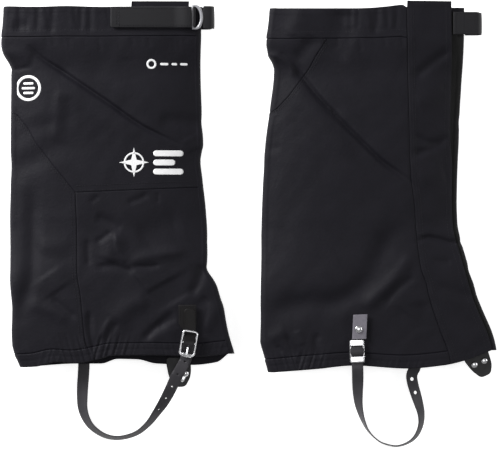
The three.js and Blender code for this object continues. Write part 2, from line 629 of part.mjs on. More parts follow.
function gaiter(spec) {
  const group = new THREE.Group();
  const tube = new Tube(spec);
  const put = (name, geometry, look) => add(group, `${spec.prefix}_${name}`, geometry, look);
  const end = medialEnd(tube);
  const topRows = [TOP_HEM, 0.96, 1];
  const bottomRows = [0, 0.018, BOTTOM_HEM];

  put('upper_panel', upperPanel(tube), 'fabric');
  put('lower_panel', lowerPanel(tube), 'fabric');
  put('rear_panel', rearPanel(tube), 'fabric');
  put('top_hem', hemLayer(tube, topRows, 0, PANEL, LATERAL_FRONT, end), 'fabric');
  put('top_elastic', hemLayer(tube, topRows, 1.6, 0.8, 0.42, 2.5), 'elastic');
  put('top_facing', hemLayer(tube, topRows, 2.9, 0.8, LATERAL_FRONT + 0.01, end), 'lining');
  put('bottom_hem', hemLayer(tube, bottomRows, 0, PANEL, LATERAL_FRONT, end), 'fabric');
  put('bottom_elastic', hemLayer(tube, bottomRows, 1.6, 0.8, 0.5, 2.2), 'elastic');

  put('underflap', underflap(tube), 'fabric');
  put('loop_tape', loopTape(tube), 'tape');
  put('front_flap', frontFlap(tube), 'fabric');
  put('hook_tape', hookTape(tube), 'tape');

  const top = cinch(tube, spec);
  put('cinch_strap', top.base, 'webbing');
  put('cinch_tail', top.tail, 'webbing');
  put('d_ring', top.ring, 'ring');
  put('ring_webbing', ringWebbing(tube, spec, top.bar), 'webbing');

  const buckleT = (spec.buckle.x - tube.rearX(0.06)) / (tube.frontX(0.06) - tube.rearX(0.06));
  const buckleLevel = tube.sideLevel(true, buckleT, 0.05, 0);
  const onBuckle = (geometry) => placed(geometry, spec.buckle,
    buckleLevel + (spec.lateralUp ? GAP : -GAP), spec.lateralUp);
  put('buckle_chape', onBuckle(buckleChape()), 'webbing');
  put('buckle_frame', onBuckle(buckleFrame()), 'chrome');
  put('buckle_roller', onBuckle(buckleRoller()), 'chrome');
  put('buckle_prong', onBuckle(buckleProng()), 'chrome');
  put('strap_tip', onBuckle(strapTip(spec.tipEnd)), 'strap');

  const anchorT = (spec.anchor.x - tube.rearX(0.06)) / (tube.frontX(0.06) - tube.rearX(0.06));
  const anchorLevel = tube.sideLevel(false, anchorT, 0.05, 0);
  const onAnchor = (geometry) => placed(geometry, spec.anchor,
    anchorLevel + (spec.lateralUp ? -GAP : GAP), !spec.lateralUp);
  put('strap_hold', onAnchor(strapHold(spec.holdEnd)), 'strap');
  put('anchor_slide', onAnchor(anchorSlide()), 'chrome');
  put('anchor_tab', onAnchor(anchorTab()), 'leather');
  put('anchor_rivet', onAnchor(anchorRivet()), 'chrome');

  put('instep_strap', instepStrap(spec), 'strap');
  put('lace_tab', laceTab(spec), 'leather');
  put('lace_hook', laceHook(spec), 'chrome');
  put('lace_dome', laceDome(spec), 'chrome');
  put('lace_rivet', laceRivet(spec), 'chrome');
  return group;
}

const pair = new THREE.Group();
pair.add(gaiter(RIGHT), gaiter(LEFT));

export default pair;
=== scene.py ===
import math

import bpy
import numpy as np
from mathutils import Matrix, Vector


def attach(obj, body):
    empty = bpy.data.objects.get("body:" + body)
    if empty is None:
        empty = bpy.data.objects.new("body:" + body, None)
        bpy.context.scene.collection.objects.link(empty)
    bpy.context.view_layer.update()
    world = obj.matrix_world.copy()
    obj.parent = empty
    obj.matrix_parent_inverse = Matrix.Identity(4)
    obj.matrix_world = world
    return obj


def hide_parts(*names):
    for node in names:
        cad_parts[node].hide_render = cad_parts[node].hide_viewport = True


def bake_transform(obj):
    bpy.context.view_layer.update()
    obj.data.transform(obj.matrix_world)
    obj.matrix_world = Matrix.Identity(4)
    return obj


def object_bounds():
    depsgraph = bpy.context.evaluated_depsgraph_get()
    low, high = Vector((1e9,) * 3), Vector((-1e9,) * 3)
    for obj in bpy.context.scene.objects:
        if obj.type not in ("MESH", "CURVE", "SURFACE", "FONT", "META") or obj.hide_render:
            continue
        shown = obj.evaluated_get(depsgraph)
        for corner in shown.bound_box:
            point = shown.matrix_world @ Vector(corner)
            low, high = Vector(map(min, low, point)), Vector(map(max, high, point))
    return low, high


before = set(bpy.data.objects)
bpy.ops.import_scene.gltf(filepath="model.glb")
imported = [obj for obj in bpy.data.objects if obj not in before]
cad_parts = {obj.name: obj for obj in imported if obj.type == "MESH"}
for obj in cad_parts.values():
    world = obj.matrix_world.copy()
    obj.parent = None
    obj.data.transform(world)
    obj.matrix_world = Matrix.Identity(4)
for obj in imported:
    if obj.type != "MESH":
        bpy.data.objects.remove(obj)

# A pair of hiking gaiters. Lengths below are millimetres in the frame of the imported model.
# A point on a gaiter is (s, h): s runs round the flattened tube, 0-1 the lateral side from
# front to rear, 1-2 the rear roll, 2-3 the medial side from rear to front, 3-4 the front
# roll; h runs from the bottom hem, 0, to the top, 1.
CAD_BOX = [list(corner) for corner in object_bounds()]
MM = 0.001
ALONG_Y, UP = np.array([0, 1.0, 0]), np.array([0, 0, 1.0])
VIEW_WIDTH = 0.55  # metres across the picture

# The flattened tube.
HEIGHT, BOTTOM = 390.0, -150.0  # of the cloth, h from 0 to 1, and about where it starts
FRONT_HEM = -138.0  # y of the bottom hem at the front edge
ROLL = 7.0  # radius of the rolled rear and front edges
BULGE = (6.0, 13.0, 6.0)  # how far the upper side swells at the bottom, middle and top
LIFT_TOP, LIFT_BOTTOM = 7.6, 9.8  # how far the lower side lies above the surface at each end
TOP_RISE, BOTTOM_RISE = (0.8, 0.92), (0.21, 0.4)  # h over which those are reached

# Folds in it.
SOFTNESS = 0.85  # share of the listed fold heights
SHARP_CREASE = -2.9  # creases deeper than this keep their listed width
FADE = 0.22  # share of a fold's length over which each end fades
GATHER_PITCH = 6.5  # between the ripples above the bottom hem

# Seams and edges: h, or (h, s) along a line.
TOP_HEM, BOTTOM_HEM, CROSS_SEAM = 0.916, 0.036, 0.478
REAR_SEAM = 0.673  # s of the seam behind the lower panel
DIAGONAL = [(CROSS_SEAM, REAR_SEAM), (0.53, 0.75), (0.62, 0.89), (0.665, 0.94), (0.7, 1),
            (0.72, 2), (0.755, 2.06), (0.803, 2.122), (0.845, 2.185), (0.893, 2.27), (1, 2.4)]
FLAP_TOP = 1.018
# How far the flap's edge lies behind the front of the gaiter, by h.
FLAP_BEHIND = [(0, 3.2), (0.4, 3.4), (0.5, 5.5), (0.62, 10.5), (0.75, 12.6), (1, 15.4)]
UNDER = 3.6  # depth of the underflap below the flap
UNDERFLAP_END, TAPE_END = 3.97, 3.3  # s of the front edges of the underflap and its tape

# Layers of cloth.
CLOTH = 0.8  # one layer of shell fabric
TUCK = 4.0  # cloth hidden under its neighbour
EDGE, FINE = 7.0, 0.6  # the border of a piece of cloth and the mesh step in it
GAP = 0.3  # between a fitting and what it lies on

# Bands, as width and thickness, and other fittings. A buckle's bar is its middle one.
WEBBING_WIDTH, WEBBING = 23.0, 1.4
STRAP_WIDTH, STRAP = 12.6, 1.5
CHAPE_WIDTH, CHAPE = 19.4, 1.1
CINCH_WIDTH, CINCH_LENGTH = 22.0, 88.0
WIRE, BAR_WIRE, RING_WIRE, THREAD_RADIUS = 1.2, 1.05, 1.3, 0.24  # all radii
BUCKLE_WIDTH, BUCKLE_LENGTH, BAR_LEVEL = 15.6, 26.0, 4.9
SLIDE_Y = -4.6  # middle bar of the slide below the anchor point
LEAN, LEAN_FROM = 0.2, 10.0  # the sewn end stands upright while the buckle is turned
TAB_HALF = 0.9  # half the thickness of the lace tab

# Folds of the cloth: (width left of the line, width right of it, height, points along it).
LATERAL_FOLDS = [
    (1.4, 1.9, -3.8, [(-241, 196), (-227, 183), (-204, 168), (-179, 151), (-151, 132),
                      (-123, 112), (-99, 99), (-75, 88)]),
    (5, 5, -1.8, [(-245, 197), (-223, 182), (-195, 162)]),
    (7, 7, 2.2, [(-237, 177), (-210, 158), (-182, 135), (-151, 113), (-118, 91)]),
    (12, 3.4, 1.7, [(-206, 153), (-209, 127), (-211, 105), (-216, 89)]),
    (5, 5, -1.6, [(-199, 146), (-199, 118), (-204, 91)]),
    (8, 8, -2.0, [(-265, 62), (-239, 70), (-216, 82), (-197, 88), (-173, 96)]),
    (8, 8, 0.8, [(-263, 76), (-241, 86), (-219, 100)]),
    (9, 9, 0.6, [(-261, 38), (-234, 46), (-206, 58)]),
    (15, 15, 2.2, [(-248, 182), (-230, 146), (-224, 107)]),
    (4, 4, -1.6, [(-261, 218), (-240, 219)]),
    (5, 5, 2.2, [(-270, 187), (-254, 186), (-237, 179)]),
    (1.6, 1.6, -1.2, [(-265, 170), (-252, 172), (-239, 174)]),
    (5, 5, -2.2, [(-100, 117), (-74, 113), (-51, 114)]),
    (5.5, 5.5, 1.3, [(-67, 98), (-58, 82)]),
    (7, 7, -0.8, [(-133, 186), (-131, 153)]),
    (2, 2, -1, [(-175, 24), (-164, 32)]),
    (2.2, 2.2, -1.4, [(-135, 23), (-120, 29), (-109, 35)]),
    (1.5, 1.5, -0.8, [(-100, 36), (-100, 23)]),
    (3.6, 3.6, -1.9, [(-170, 9), (-155, 4), (-138, -6)]),
    (2, 2, -1.6, [(-150, -7), (-160, -14), (-169, -20)]),
    (2.4, 2.4, -1.8, [(-177, -14), (-176, -47)]),
    (5.2, 5.2, -3, [(-237, 45), (-237, 6), (-237, -33), (-239, -61), (-246, -82), (-253, -102)]),
    (5, 6, 1.9, [(-254, 44), (-254, 0), (-255, -55), (-259, -92)]),
    (11, 11, 2, [(-223, -52), (-208, -74)]),
    (4.6, 4.6, 1.8, [(-244, -84), (-216, -94), (-196, -108)]),
    (2.2, 2.2, -1.5, [(-217, -79), (-199, -95), (-187, -102)]),
    (5, 5, 1, [(-232, -23), (-193, -19)]),
    (5, 5, -0.8, [(-232, -36), (-190, -36)]),
    (7, 7, 2.6, [(-147, -10), (-155, -41)]),
    (5.5, 1.8, 1.8, [(-146, -6), (-143, -28), (-133, -43)]),
    (2.4, 2.4, -2.2, [(-170, -47), (-148, -45), (-124, -53)]),
    (9, 9, -2.2, [(-124, -16), (-100, -4), (-72, 3)]),
    (3.8, 3.8, 2.6, [(-135, -42), (-109, -34), (-65, -28)]),
    (1.8, 1.8, -1.8, [(-129, -46), (-113, -46), (-96, -44)]),
    (13, 13, -2.6, [(-91, -58), (-76, -85)]),
    (6, 1.6, 2, [(-131, -47), (-118, -61), (-107, -76)]),
    (6, 6, 2.8, [(-109, -80), (-131, -89), (-150, -108)]),
    (4, 4, -3, [(-50, -41), (-54, -58), (-64, -80)]),
    (4, 4, -2.4, [(-63, -96), (-44, -79)]),
    (5, 5, 2.2, [(-30, -82), (-41, -102), (-51, -118)]),
    (2.6, 2.6, -2.6, [(-118, -128), (-100, -110), (-80, -94)]),
    (2, 2, -1.4, [(-100, -113), (-79, -101)]),
    (3.6, 3.6, 1.2, [(-111, -127), (-80, -112)]),
    (2, 2, -2.8, [(-175, -91), (-174, -116), (-169, -144)]),
    (1.8, 1.8, 1.3, [(-150, -101), (-156, -110), (-163, -124)]),
    (2, 2, -1.2, [(-143, -105), (-153, -120), (-160, -133)]),
]
MEDIAL_FOLDS = [
    (1.5, 2.0, -4.4, [(37, 187), (43, 180), (57, 165), (75, 142), (99, 116), (124, 91),
                      (146, 70), (168, 54), (184, 42)]),
    (5.5, 5.5, -2, [(41, 184), (69, 151), (106, 109)]),
    (7, 7, 2.2, [(36, 162), (62, 131), (89, 100), (120, 72)]),
    (7, 10, 3.0, [(46, 204), (54, 222), (60, 240)]),
    (10, 7, -4.2, [(86, 184), (98, 208), (106, 240)]),
    (5, 5, -2.6, [(76, 206), (62, 193), (50, 179)]),
    (4.5, 4.5, -1.8, [(114, 217), (106, 197), (97, 179)]),
    (2.2, 2.2, 2.8, [(21, 189), (36, 182), (46, 173), (50, 160)]),
    (3, 3, -0.7, [(16, 82), (37, 87)]),
    (3.2, 3.2, -2.7, [(178, 160), (197, 175), (223, 195)]),
    (7, 7, 1.9, [(182, 132), (216, 153)]),
    (2.6, 2.6, -2.0, [(179, 100), (193, 92), (205, 91), (221, 99)]),
    (2.8, 2.8, -2.4, [(177, 76), (195, 82), (217, 92)]),
    (7, 7, 1.6, [(184, 50), (216, 60)]),
    (1.8, 1.8, -2.4, [(182, -19), (195, -14), (208, -16), (221, -19), (239, -18)]),
    (4, 4, 1.4, [(186, -7), (210, -8), (237, -11)]),
    (2.6, 2.6, -1.1, [(199, -40), (223, -41)]),
    (4, 4, -1.4, [(201, -64), (223, -72), (250, -80)]),
    (8.5, 8.5, -4.4, [(16, -102), (54, -87), (89, -86), (116, -72), (135, -52), (152, -19),
                      (175, 6)]),
    (4.4, 4.4, 3, [(182, -28), (160, -57), (139, -78), (122, -95)]),
    (2.8, 2.8, -2, [(184, -55), (164, -68), (153, -80), (145, -91)]),
    (8, 8, 1.4, [(184, -72), (166, -96)]),
    (6.5, 6.5, -1.3, [(187, -82), (193, -118)]),
    (1.9, 1.9, -2, [(40, -119), (47, -133), (61, -150)]),
    (2.4, 2.4, -1.8, [(76, -117), (73, -131), (79, -146)]),
    (4, 4, 1.7, [(21, -127), (42, -114)]),
    (3, 3, 1.5, [(53, -114), (59, -133)]),
    (1.6, 1.6, -1.2, [(30, -132), (38, -140)]),
]
PAIR_SHIFT = 288  # from the right gaiter's front edge to the left one's

RIGHT = dict(
    name="right", lateral_up=True, top=239.8, bottom=[(0, -156.2), (1, -139.7)],
    hem_up=[(0, -156.2), (0.05, -155.4), (0.16, -150), (0.25, -151.5), (0.36, -147),
            (0.44, -142.8), (0.6, -142.6), (0.86, -144), (1, -141.3)],
    hem_down=[(0, -156.2), (0.25, -152.6), (0.37, -152.6), (0.45, -147.5), (0.55, -148),
              (0.64, -152.5), (0.82, -154), (0.94, -151), (1, -141.3)],
    rear=[(0, -251.9), (0.064, -260.7), (0.19, -261.8), (0.6, -262.9), (0.82, -261.8),
          (0.897, -272.8), (1.02, -269.5)],
    front=[(0, -15.4), (0.046, -20.9), (0.186, -34.1), (0.255, -45.1), (0.325, -45.1),
           (0.5, -50.6), (0.554, -53), (0.603, -50.6), (0.846, -52.8), (1.02, -50.6)],
    flap_seam=[(0, -67.1), (0.14, -78), (0.25, -90), (0.36, -102), (0.45, -107), (0.55, -112),
               (0.8, -119), (1.02, -131)],
    top_up=[(0, 0.4), (0.15, -0.5), (0.3, 0.3), (0.5, -0.7), (0.6, -0.4), (1, 0)],
    ring_x=-61.6, ring_y=227.7, fold_x=-38.6,
    buckle=(-66, -129.3, -10), anchor=(-182, -133.4, 0), tip_end=-17.6, hold_end=-18.6,
    strap=[(-70, -149.4, 29.6), (-74, -156.5, 29.2), (-80, -167, 27), (-85, -178, 22.5),
           (-90, -188, 17.5), (-95.5, -197.5, 13), (-102, -207, 9.6), (-110.5, -218.5, 7.4),
           (-122, -228.5, 6.4), (-135, -233.6, 6.2), (-148, -234.9, 6.2), (-161, -231.6, 6.2),
           (-173, -223.3, 6.2), (-180, -213, 6.2), (-183.4, -202, 6.4), (-183.9, -190, 7),
           (-183.4, -177, 7.6), (-182.5, -165, 8.1), (-182, -154.8, 8.3)],
    twist=[0, 0, 4, 10, 20, 32, 46, 58, 64, 66, 66, 62, 54, 44, 32, 20, 8, 2, 0],
    hinge=((-69.5, -148.0, 29.7), (-182, -153.7, 8.3)),
    tab=[(-90.9, -146), (-90.9, -154.4), (-88.1, -167.8), (-80.7, -178.6), (-69.9, -178),
         (-65, -168.5), (-63.8, -162.1), (-64.2, -146)],
    tab_level=12.5, hook=(-70, -163.3, 1, -3.6, -6.6), rivets=[(-70, -163.3), (-81, -160.5)],
    gathers=[(-170, -132, 42, 1.0, 11), (-66, -136, 60, 0.35, 8), (-235, -142, 30, 0.35, 8)],
    casing=[-252, -231, -222.5, -214.5, -191.4, -184, -173.8, -156.2],
    holes=(1.0, 16.2, -149.6, 5),
    puckers=[-223, -215, -204, -198, -181, -165, -144, -129, -120, -111, -90, -84, -78, -71],
)
LEFT = dict(
    name="left", lateral_up=False, top=238.7,
    bottom=[(0, -161.7), (0.21, -156.8), (0.36, -154.6), (0.6, -156.4), (0.775, -153),
            (0.88, -147.6), (1, -137.5)],
    hem_up=[(0, -161.7), (0.21, -156.6), (0.36, -154), (0.61, -157.3), (0.775, -154),
            (0.88, -148.5), (1, -137.6)],
    hem_down=[(0, -162.4), (0.2, -158.6), (0.35, -155), (0.6, -154), (0.8, -150), (1, -137.6)],
    rear=[(0, 20.9), (0.044, 16.5), (0.088, 12.1), (0.46, 14.3), (0.593, 16.5), (0.725, 23.1),
          (0.824, 27.5), (0.901, 18.7), (1.02, 24.2)],
    front=[(0, 272.8), (0.029, 270.6), (0.146, 253), (0.287, 237.6), (0.357, 231),
           (0.427, 229.9), (0.637, 232.1), (0.848, 236.5), (1.02, 237.6)],
    flap_seam=[(0, 221.5), (0.03, 218.9), (0.1, 208.5), (0.187, 197.5), (0.222, 194.5),
               (0.27, 188.5), (0.36, 184), (0.45, 181.5), (0.54, 177.5), (0.7, 175.6),
               (1.02, 173)],
    top_up=[(0, -0.6), (0.08, -2), (0.3, -1.8), (0.5, -0.8), (0.6, 0.8), (0.69, 2.6),
            (0.711, 0.3), (0.73, 0), (1, 0)],
    ring_x=226.6, ring_y=221.5, fold_x=255.6,
    buckle=(196.5, -133, -30), anchor=(118, -133.5, 2), tip_end=-25.4, hold_end=-20.9,
    strap=[(182.5, -158.2, 8), (179.5, -165.5, 7.6), (180.6, -175, 7.2), (184.4, -188, 6.8),
           (187.4, -198, 6.6), (189.8, -208, 6.6), (189.7, -219.5, 6.6), (185, -231.5, 6.6),
           (176.5, -239.6, 6.6), (163, -243.9, 6.6), (148, -240.8, 6.6), (139.5, -235.5, 6.6),
           (131.5, -227, 6.8), (126.6, -217.5, 7.4), (123, -207, 9.5), (120.6, -196, 13.5),
           (119.6, -184, 18.5), (119.3, -173, 24), (119.1, -165, 28.6), (118.9, -158.6, 30.9)],
    twist=[0, 8, 16, 26, 38, 50, 60, 66, 74, 80, 84, 86, 82, 74, 62, 48, 32, 16, 4, 0],
    hinge=((183.1, -157.2, 8.1), (118.9, -157.4, 31.1)),
    tab=[(236.5, -136), (236.5, -149.6), (245.3, -160.6), (255.2, -168.3), (266.2, -163.4),
         (267.3, -152.9), (264, -141.5), (262, -136)],
    tab_level=14, hook=(253.5, -151.5, -1, -6.2, -3.2), rivets=[(247.8, -153.8), (258.7, -149.4)],
    gathers=[(52, -148, 34, 0.8, 11), (150, -152, 60, 0.3, 7), (236, -146, 26, 0.25, 7)],
    casing=[112, 119.9, 133.1, 141, 150.2, 162],
    holes=(2.0, 15.4, -169.2, 2),
    puckers=[60, 74, 84, 96, 109, 121, 136, 148, 158, 167],
)


# ---- maths ----
def lerp(a, b, t):
    return a + (b - a) * t


def ramp(x, start, end):
    t = np.clip((np.asarray(x, float) - start) / (end - start), 0, 1)
    return t * t * (3 - 2 * t)


def unit(v):
    v = np.asarray(v, float)
    return v / np.maximum(np.linalg.norm(v, axis=-1, keepdims=True), 1e-12)


def smooth(table, x):
    """A curve through (x, y) pairs that doesn't overshoot them."""
    xs, ys = np.array(table, float).T
    x = np.clip(x, xs[0], xs[-1])
    step = np.diff(xs)
    slope = np.diff(ys) / step
    turn = np.zeros(len(xs))
    before, after = slope[:-1], slope[1:]
    same = before * after > 1e-12
    turn[1:-1][same] = 2 * before[same] * after[same] / (before[same] + after[same])
    turn[0], turn[-1] = slope[0], slope[-1]
    i = np.clip(np.searchsorted(xs, x, side="right") - 1, 0, len(xs) - 2)
    t = (x - xs[i]) / step[i]
    a, b = ys[i], ys[i + 1]
    ma, mb = turn[i] * step[i], turn[i + 1] * step[i]
    return (a * (1 + 2 * t) * (1 - t) ** 2 + ma * t * (1 - t) ** 2
            + b * t * t * (3 - 2 * t) + mb * t * t * (t - 1))


def table_at(table, x):
    """Straight lines through (x, y) pairs."""
    return np.interp(x, *np.array(table, float).T)


def curve(points, per_span=8):
    """A smooth line through the points."""
    p = np.array(points, float)
    p = np.vstack([2 * p[0] - p[1], p, 2 * p[-1] - p[-2]])
    t = np.linspace(0, 1, per_span, endpoint=False)[:, None]
    spans = [0.5 * (2 * b + (c - a) * t + (2 * a - 5 * b + 4 * c - d) * t**2
                    + (3 * b - a - 3 * c + d) * t**3)
             for a, b, c, d in zip(p, p[1:], p[2:], p[3:])]
    return np.vstack([*spans, p[-2:-1]])


def lengths(path):
    """How far along a path each of its points is."""
    return np.concatenate([[0], np.cumsum(np.linalg.norm(np.diff(path, axis=0), axis=1))])


def at_lengths(values, distance, at):
    """Values given at some distances along a path, read at others."""
    return np.stack([np.interp(at, distance, values[:, k]) for k in range(3)], -1)


def distance_to(x, y, line):
    """Distance to a line of points, the side it is on, and how far along it, 0 to 1."""
    start, step = line[:-1], np.diff(line, axis=0)
    length = np.linalg.norm(step, axis=1)
    before = np.concatenate([[0], np.cumsum(length)[:-1]])
    away = np.stack([x, y], -1)[:, None, :] - start
    t = np.clip((away * step).sum(-1) / length**2, 0, 1)
    off = away - t[..., None] * step
    square = (off**2).sum(-1)
    near = square.argmin(1)
    row = np.arange(len(x))
    t, off, step = t[row, near], off[row, near], step[near]
    side = step[:, 0] * off[:, 1] - step[:, 1] * off[:, 0]
    return np.sqrt(square[row, near]), side, (before[near] + t * length[near]) / length.sum()


def fold(x, y, left, right, height, points):
    """Height of a soft fold along a line; negative is a crease."""
    line = curve(points, 5) if len(points) > 2 else np.array(points, float)
    reach = 3.6 * max(left, right)
    low, high = line.min(0) - reach, line.max(0) + reach
    near = (x > low[0]) & (x < high[0]) & (y > low[1]) & (y < high[1])
    rise = np.zeros(len(x))
    if near.any():
        away, side, along = distance_to(x[near], y[near], line)
        width = np.where(side > 0, left, right)
        fade = ramp(along, 0, FADE) * (1 - ramp(along, 1 - FADE, 1)) * 0.85 + 0.15
        rise[near] = height * fade * np.exp(-0.5 * (away / width) ** 2)
    return rise


def waves(x, pitch, phase):
    """Uneven ripples along x, from -1 to 1."""
    k = 2 * math.pi / pitch
    return (np.sin(k * x + phase) + 0.6 * np.sin(1.63 * k * x + 2.1 * phase)
            + 0.5 * np.sin(0.57 * k * x + 3.7 * phase)) / 2.1


def rumple(x, y):
    """Slight unevenness of cloth that has been handled."""
    a = x + 9 * np.sin(y / 31) + 4 * np.sin(y / 13 + 1)
    b = y + 8 * np.sin(x / 27 + 2) + 5 * np.sin(x / 17)
    return (0.32 * np.sin(a / 11) * np.sin(b / 14 + 0.5) + 0.16 * np.sin(a / 5.3 + 1)
            * np.sin(b / 6.1) + 0.3 * np.sin((a + b) / 23 + 0.7))


# ---- the flattened tube ----
class Tube:
    def __init__(self, spec):
        self.spec = spec
        up, down, shift = LATERAL_FOLDS, MEDIAL_FOLDS, -PAIR_SHIFT
        if not spec["lateral_up"]:
            up, down, shift = down, up, PAIR_SHIFT
        self.up_folds = list(up)
        self.down_folds = [(a, b, c, [(x + shift, y) for x, y in p]) for a, b, c, p in down]
        for i, x in enumerate(spec["casing"]):
            uneven = math.sin(2.4 * i + 0.6)
            wide, deep, lean = 2.0 + 0.5 * uneven, -1.1 - 0.5 * uneven, 3 * math.sin(3.7 * i)
            self.up_folds.append((wide, wide, deep, [(x, 243), (x + lean, 212 - 4 * uneven)]))
            self.up_folds.append((3.4, 2.4, 0.5, [(x - 4, 238), (x - 4 + lean, 214)]))
        for i, x in enumerate(spec["puckers"]):
            deep = -0.38 - 0.2 * math.sin(2.9 * i)
            self.up_folds.append((1.7, 1.7, deep, [(x, 206), (x + 2.5, 193 + 4 * math.sin(i))]))
        self.calm = []  # (line, radius) under the fittings, where the cloth stays flat
        self.phase = 0.4 if spec["lateral_up"] else 1.3

    def rear(self, h):
        return smooth(self.spec["rear"], h)

    def front(self, h):
        return smooth(self.spec["front"], h)

    def span(self, h):
        return self.front(h) - self.rear(h) - 2 * ROLL

    def floor(self, h):
        """How far the lower side lies above the surface."""
        return LIFT_TOP * ramp(h, *TOP_RISE) + LIFT_BOTTOM * (1 - ramp(h, *BOTTOM_RISE))

    def bulge(self, t, h):
        low, middle, top = BULGE
        full = lerp(lerp(low, middle, ramp(h, 0.21, 0.42)), top, ramp(h, 0.72, 0.93))
        return full * (1 - np.abs(2 * t - 1) ** 3)

    def level(self, up, t, h):
        """Height of the plain side, before its folds."""
        return self.floor(h) + (2 * ROLL + self.bulge(t, h) if up else 0)

    def y(self, t, h, up_share):
        plain = table_at(self.spec["bottom"], t)
        hem = lerp(smooth(self.spec["hem_down"], t), smooth(self.spec["hem_up"], t), up_share)
        top = self.spec["top"] + smooth(self.spec["top_up"], t) * up_share * ramp(h, 0.85, 1)
        return lerp(plain + (hem - plain) * (1 - ramp(h, 0, 0.16)), top, h)

    def quiet(self, x, y):
        """1 where fittings lie on the cloth, 0 away from them."""
        near = np.zeros(len(x))
        for line, radius in self.calm:
            away, _, _ = distance_to(x, y, np.array(line, float))
            near = np.maximum(near, 1 - ramp(away, radius, radius + 9))
        return near

    def up_relief(self, x, y):
        rise = rumple(x, y)
        for left, right, height, points in self.up_folds:
            soft = 1.0 if height < SHARP_CREASE else 1.15
            rise += fold(x, y, soft * left, soft * right, SOFTNESS * height, points)
        for cx, edge, half, height, reach in self.spec["gathers"]:
            above = np.maximum(y - edge, 0) / reach
            window = np.exp(-(((x - cx) / half) ** 4)) * np.exp(-(above**2))
            fanned = x + 0.3 * (y - edge) * np.sign(cx - x)
            rise += window * height * waves(fanned, GATHER_PITCH, self.phase)
        calm = self.quiet(x, y)
        return rise * (1 - calm) + np.minimum(rise, 0) * calm * 0.5 - 0.25 * calm

    def down_relief(self, x, y):
        rise = rumple(x + 40, y - 25)
        for left, right, height, points in self.down_folds:
            rise += fold(x, y, left, right, height * 0.8, points)
        return 0.5 * (rise - np.sqrt(rise**2 + 0.3))

    def place(self, s, h, depth=0.0):
        """Points on the cloth, `depth` mm inside it."""
        s, h, depth = np.broadcast_arrays(np.asarray(s, float) % 4, np.asarray(h, float), depth)
        s, h, depth = s.ravel(), h.ravel(), depth.ravel()
        part = np.floor(s).astype(int)
        f = s - part
        t = np.choose(part, [1 - f, np.zeros(len(f)), f, np.ones(len(f))])
        flip = 1 if self.spec["lateral_up"] else -1
        rise = flip * np.choose(part, [np.ones(len(f)), np.cos(np.pi * f), -np.ones(len(f)),
                                       -np.cos(np.pi * f)])
        out = np.where(part % 2 == 1, np.sin(np.pi * f), 0) * np.where(part == 1, -1, 1)
        share = (1 + rise) / 2
        y = self.y(t, h, share)
        rear, front = self.rear(h) + ROLL, self.front(h) - ROLL
        x = lerp(rear, front, t)
        relief = np.zeros(len(x))
        upper, lower = share > 0.001, share < 0.999
        relief[upper] += share[upper] * self.up_relief(x[upper], y[upper])
        relief[lower] += (1 - share[lower]) * self.down_relief(x[lower], y[lower])
        radius = ROLL - depth + relief
        z = self.floor(h) + ROLL + rise * radius + np.where(rise > 0.9999, self.bulge(t, h), 0)
        return np.stack([x + out * radius, y, z], -1)

    def across(self, x, h):
        """Share of the way from the rear roll to the front one."""
        return (x - self.rear(h) - ROLL) / self.span(h)

    def inverse(self, x, y):
        """(s, h) of a point seen on the upper side."""
        x, y = np.asarray(x, float), np.asarray(y, float)
        h = (y - BOTTOM) / HEIGHT
        for _ in range(12):
            t = self.across(x, h)
            h = h + (y - self.y(t, h, 1.0)) / (self.spec["top"] - self.y(t, 0 * h, 1.0))
        t = self.across(x, h)
        return (1 - t if self.spec["lateral_up"] else 2 + t), h

    def turns(self, h):
        """Lengths round the tube from s = 0 to each whole s from -1 to 4."""
        span, roll = self.span(h), math.pi * ROLL
        return [-roll, 0, span, span + roll, 2 * span + roll, 2 * span + 2 * roll]

    def arc(self, s, h):
        return np.interp(s, range(-1, 5), self.turns(h))

    def at_arc(self, arc, h):
        return np.interp(arc, self.turns(h), range(-1, 5))

    def medial_at(self, h, x):
        return 2 + self.across(x, h)

    def chord(self, h):
        """The straight line that the flap folds along."""
        low, high = (float(table_at(self.spec["front"], end)) for end in (0, 1))
        return lerp(low - 51.7, high - 62.7, h)

    def flap_start(self, h):
        return self.medial_at(h, smooth(self.spec["flap_seam"], h))

    def flap_edge(self, h):
        h = np.minimum(h, 1)
        behind = smooth(FLAP_BEHIND, h)
        return 3 - (behind - ROLL) / self.span(h)


# ---- meshes ----
def grid(rows, columns):
    """Quads of a grid of points laid out row by row."""
    i, j = np.meshgrid(np.arange(rows - 1), np.arange(columns - 1), indexing="ij")
    a = (i * columns + j).ravel()
    return np.stack([a, a + 1, a + columns + 1, a + columns], 1)


def shell(outer, inner, quads):
    """A closed solid between two surfaces with the same quads: points, faces, rim count."""
    n = len(outer)
    edges = np.stack([quads, np.roll(quads, -1, 1)], 2).reshape(-1, 2)
    rim = edges[~np.isin(edges[:, 0] * n + edges[:, 1], edges[:, 1] * n + edges[:, 0])]
    sides = np.stack([rim[:, 1], rim[:, 0], rim[:, 0] + n, rim[:, 1] + n], 1)
    faces = np.vstack([quads, quads[:, ::-1] + n, sides])
    points = np.vstack([outer, inner])
    a, b, c, d = (points[faces[:, k]] for k in range(4))
    volume = (a * np.cross(b, c)).sum() + (a * np.cross(c, d)).sum()
    return points, faces if volume > 0 else faces[:, ::-1], len(sides)


def make(name, points, faces, material, flat=0):
    """A mesh object from points in mm; its last `flat` faces are flat shaded."""
    mesh = bpy.data.meshes.new(name)
    mesh.from_pydata((np.asarray(points) * MM).tolist(), [], [list(map(int, f)) for f in faces])
    shade = np.ones(len(mesh.polygons), bool)
    if flat:
        shade[-flat:] = False
    mesh.polygons.foreach_set("use_smooth", shade)
    mesh.update()
    thing = bpy.data.objects.new(name, mesh)
    bpy.context.scene.collection.objects.link(thing)
    mesh.materials.append(material)
    return thing


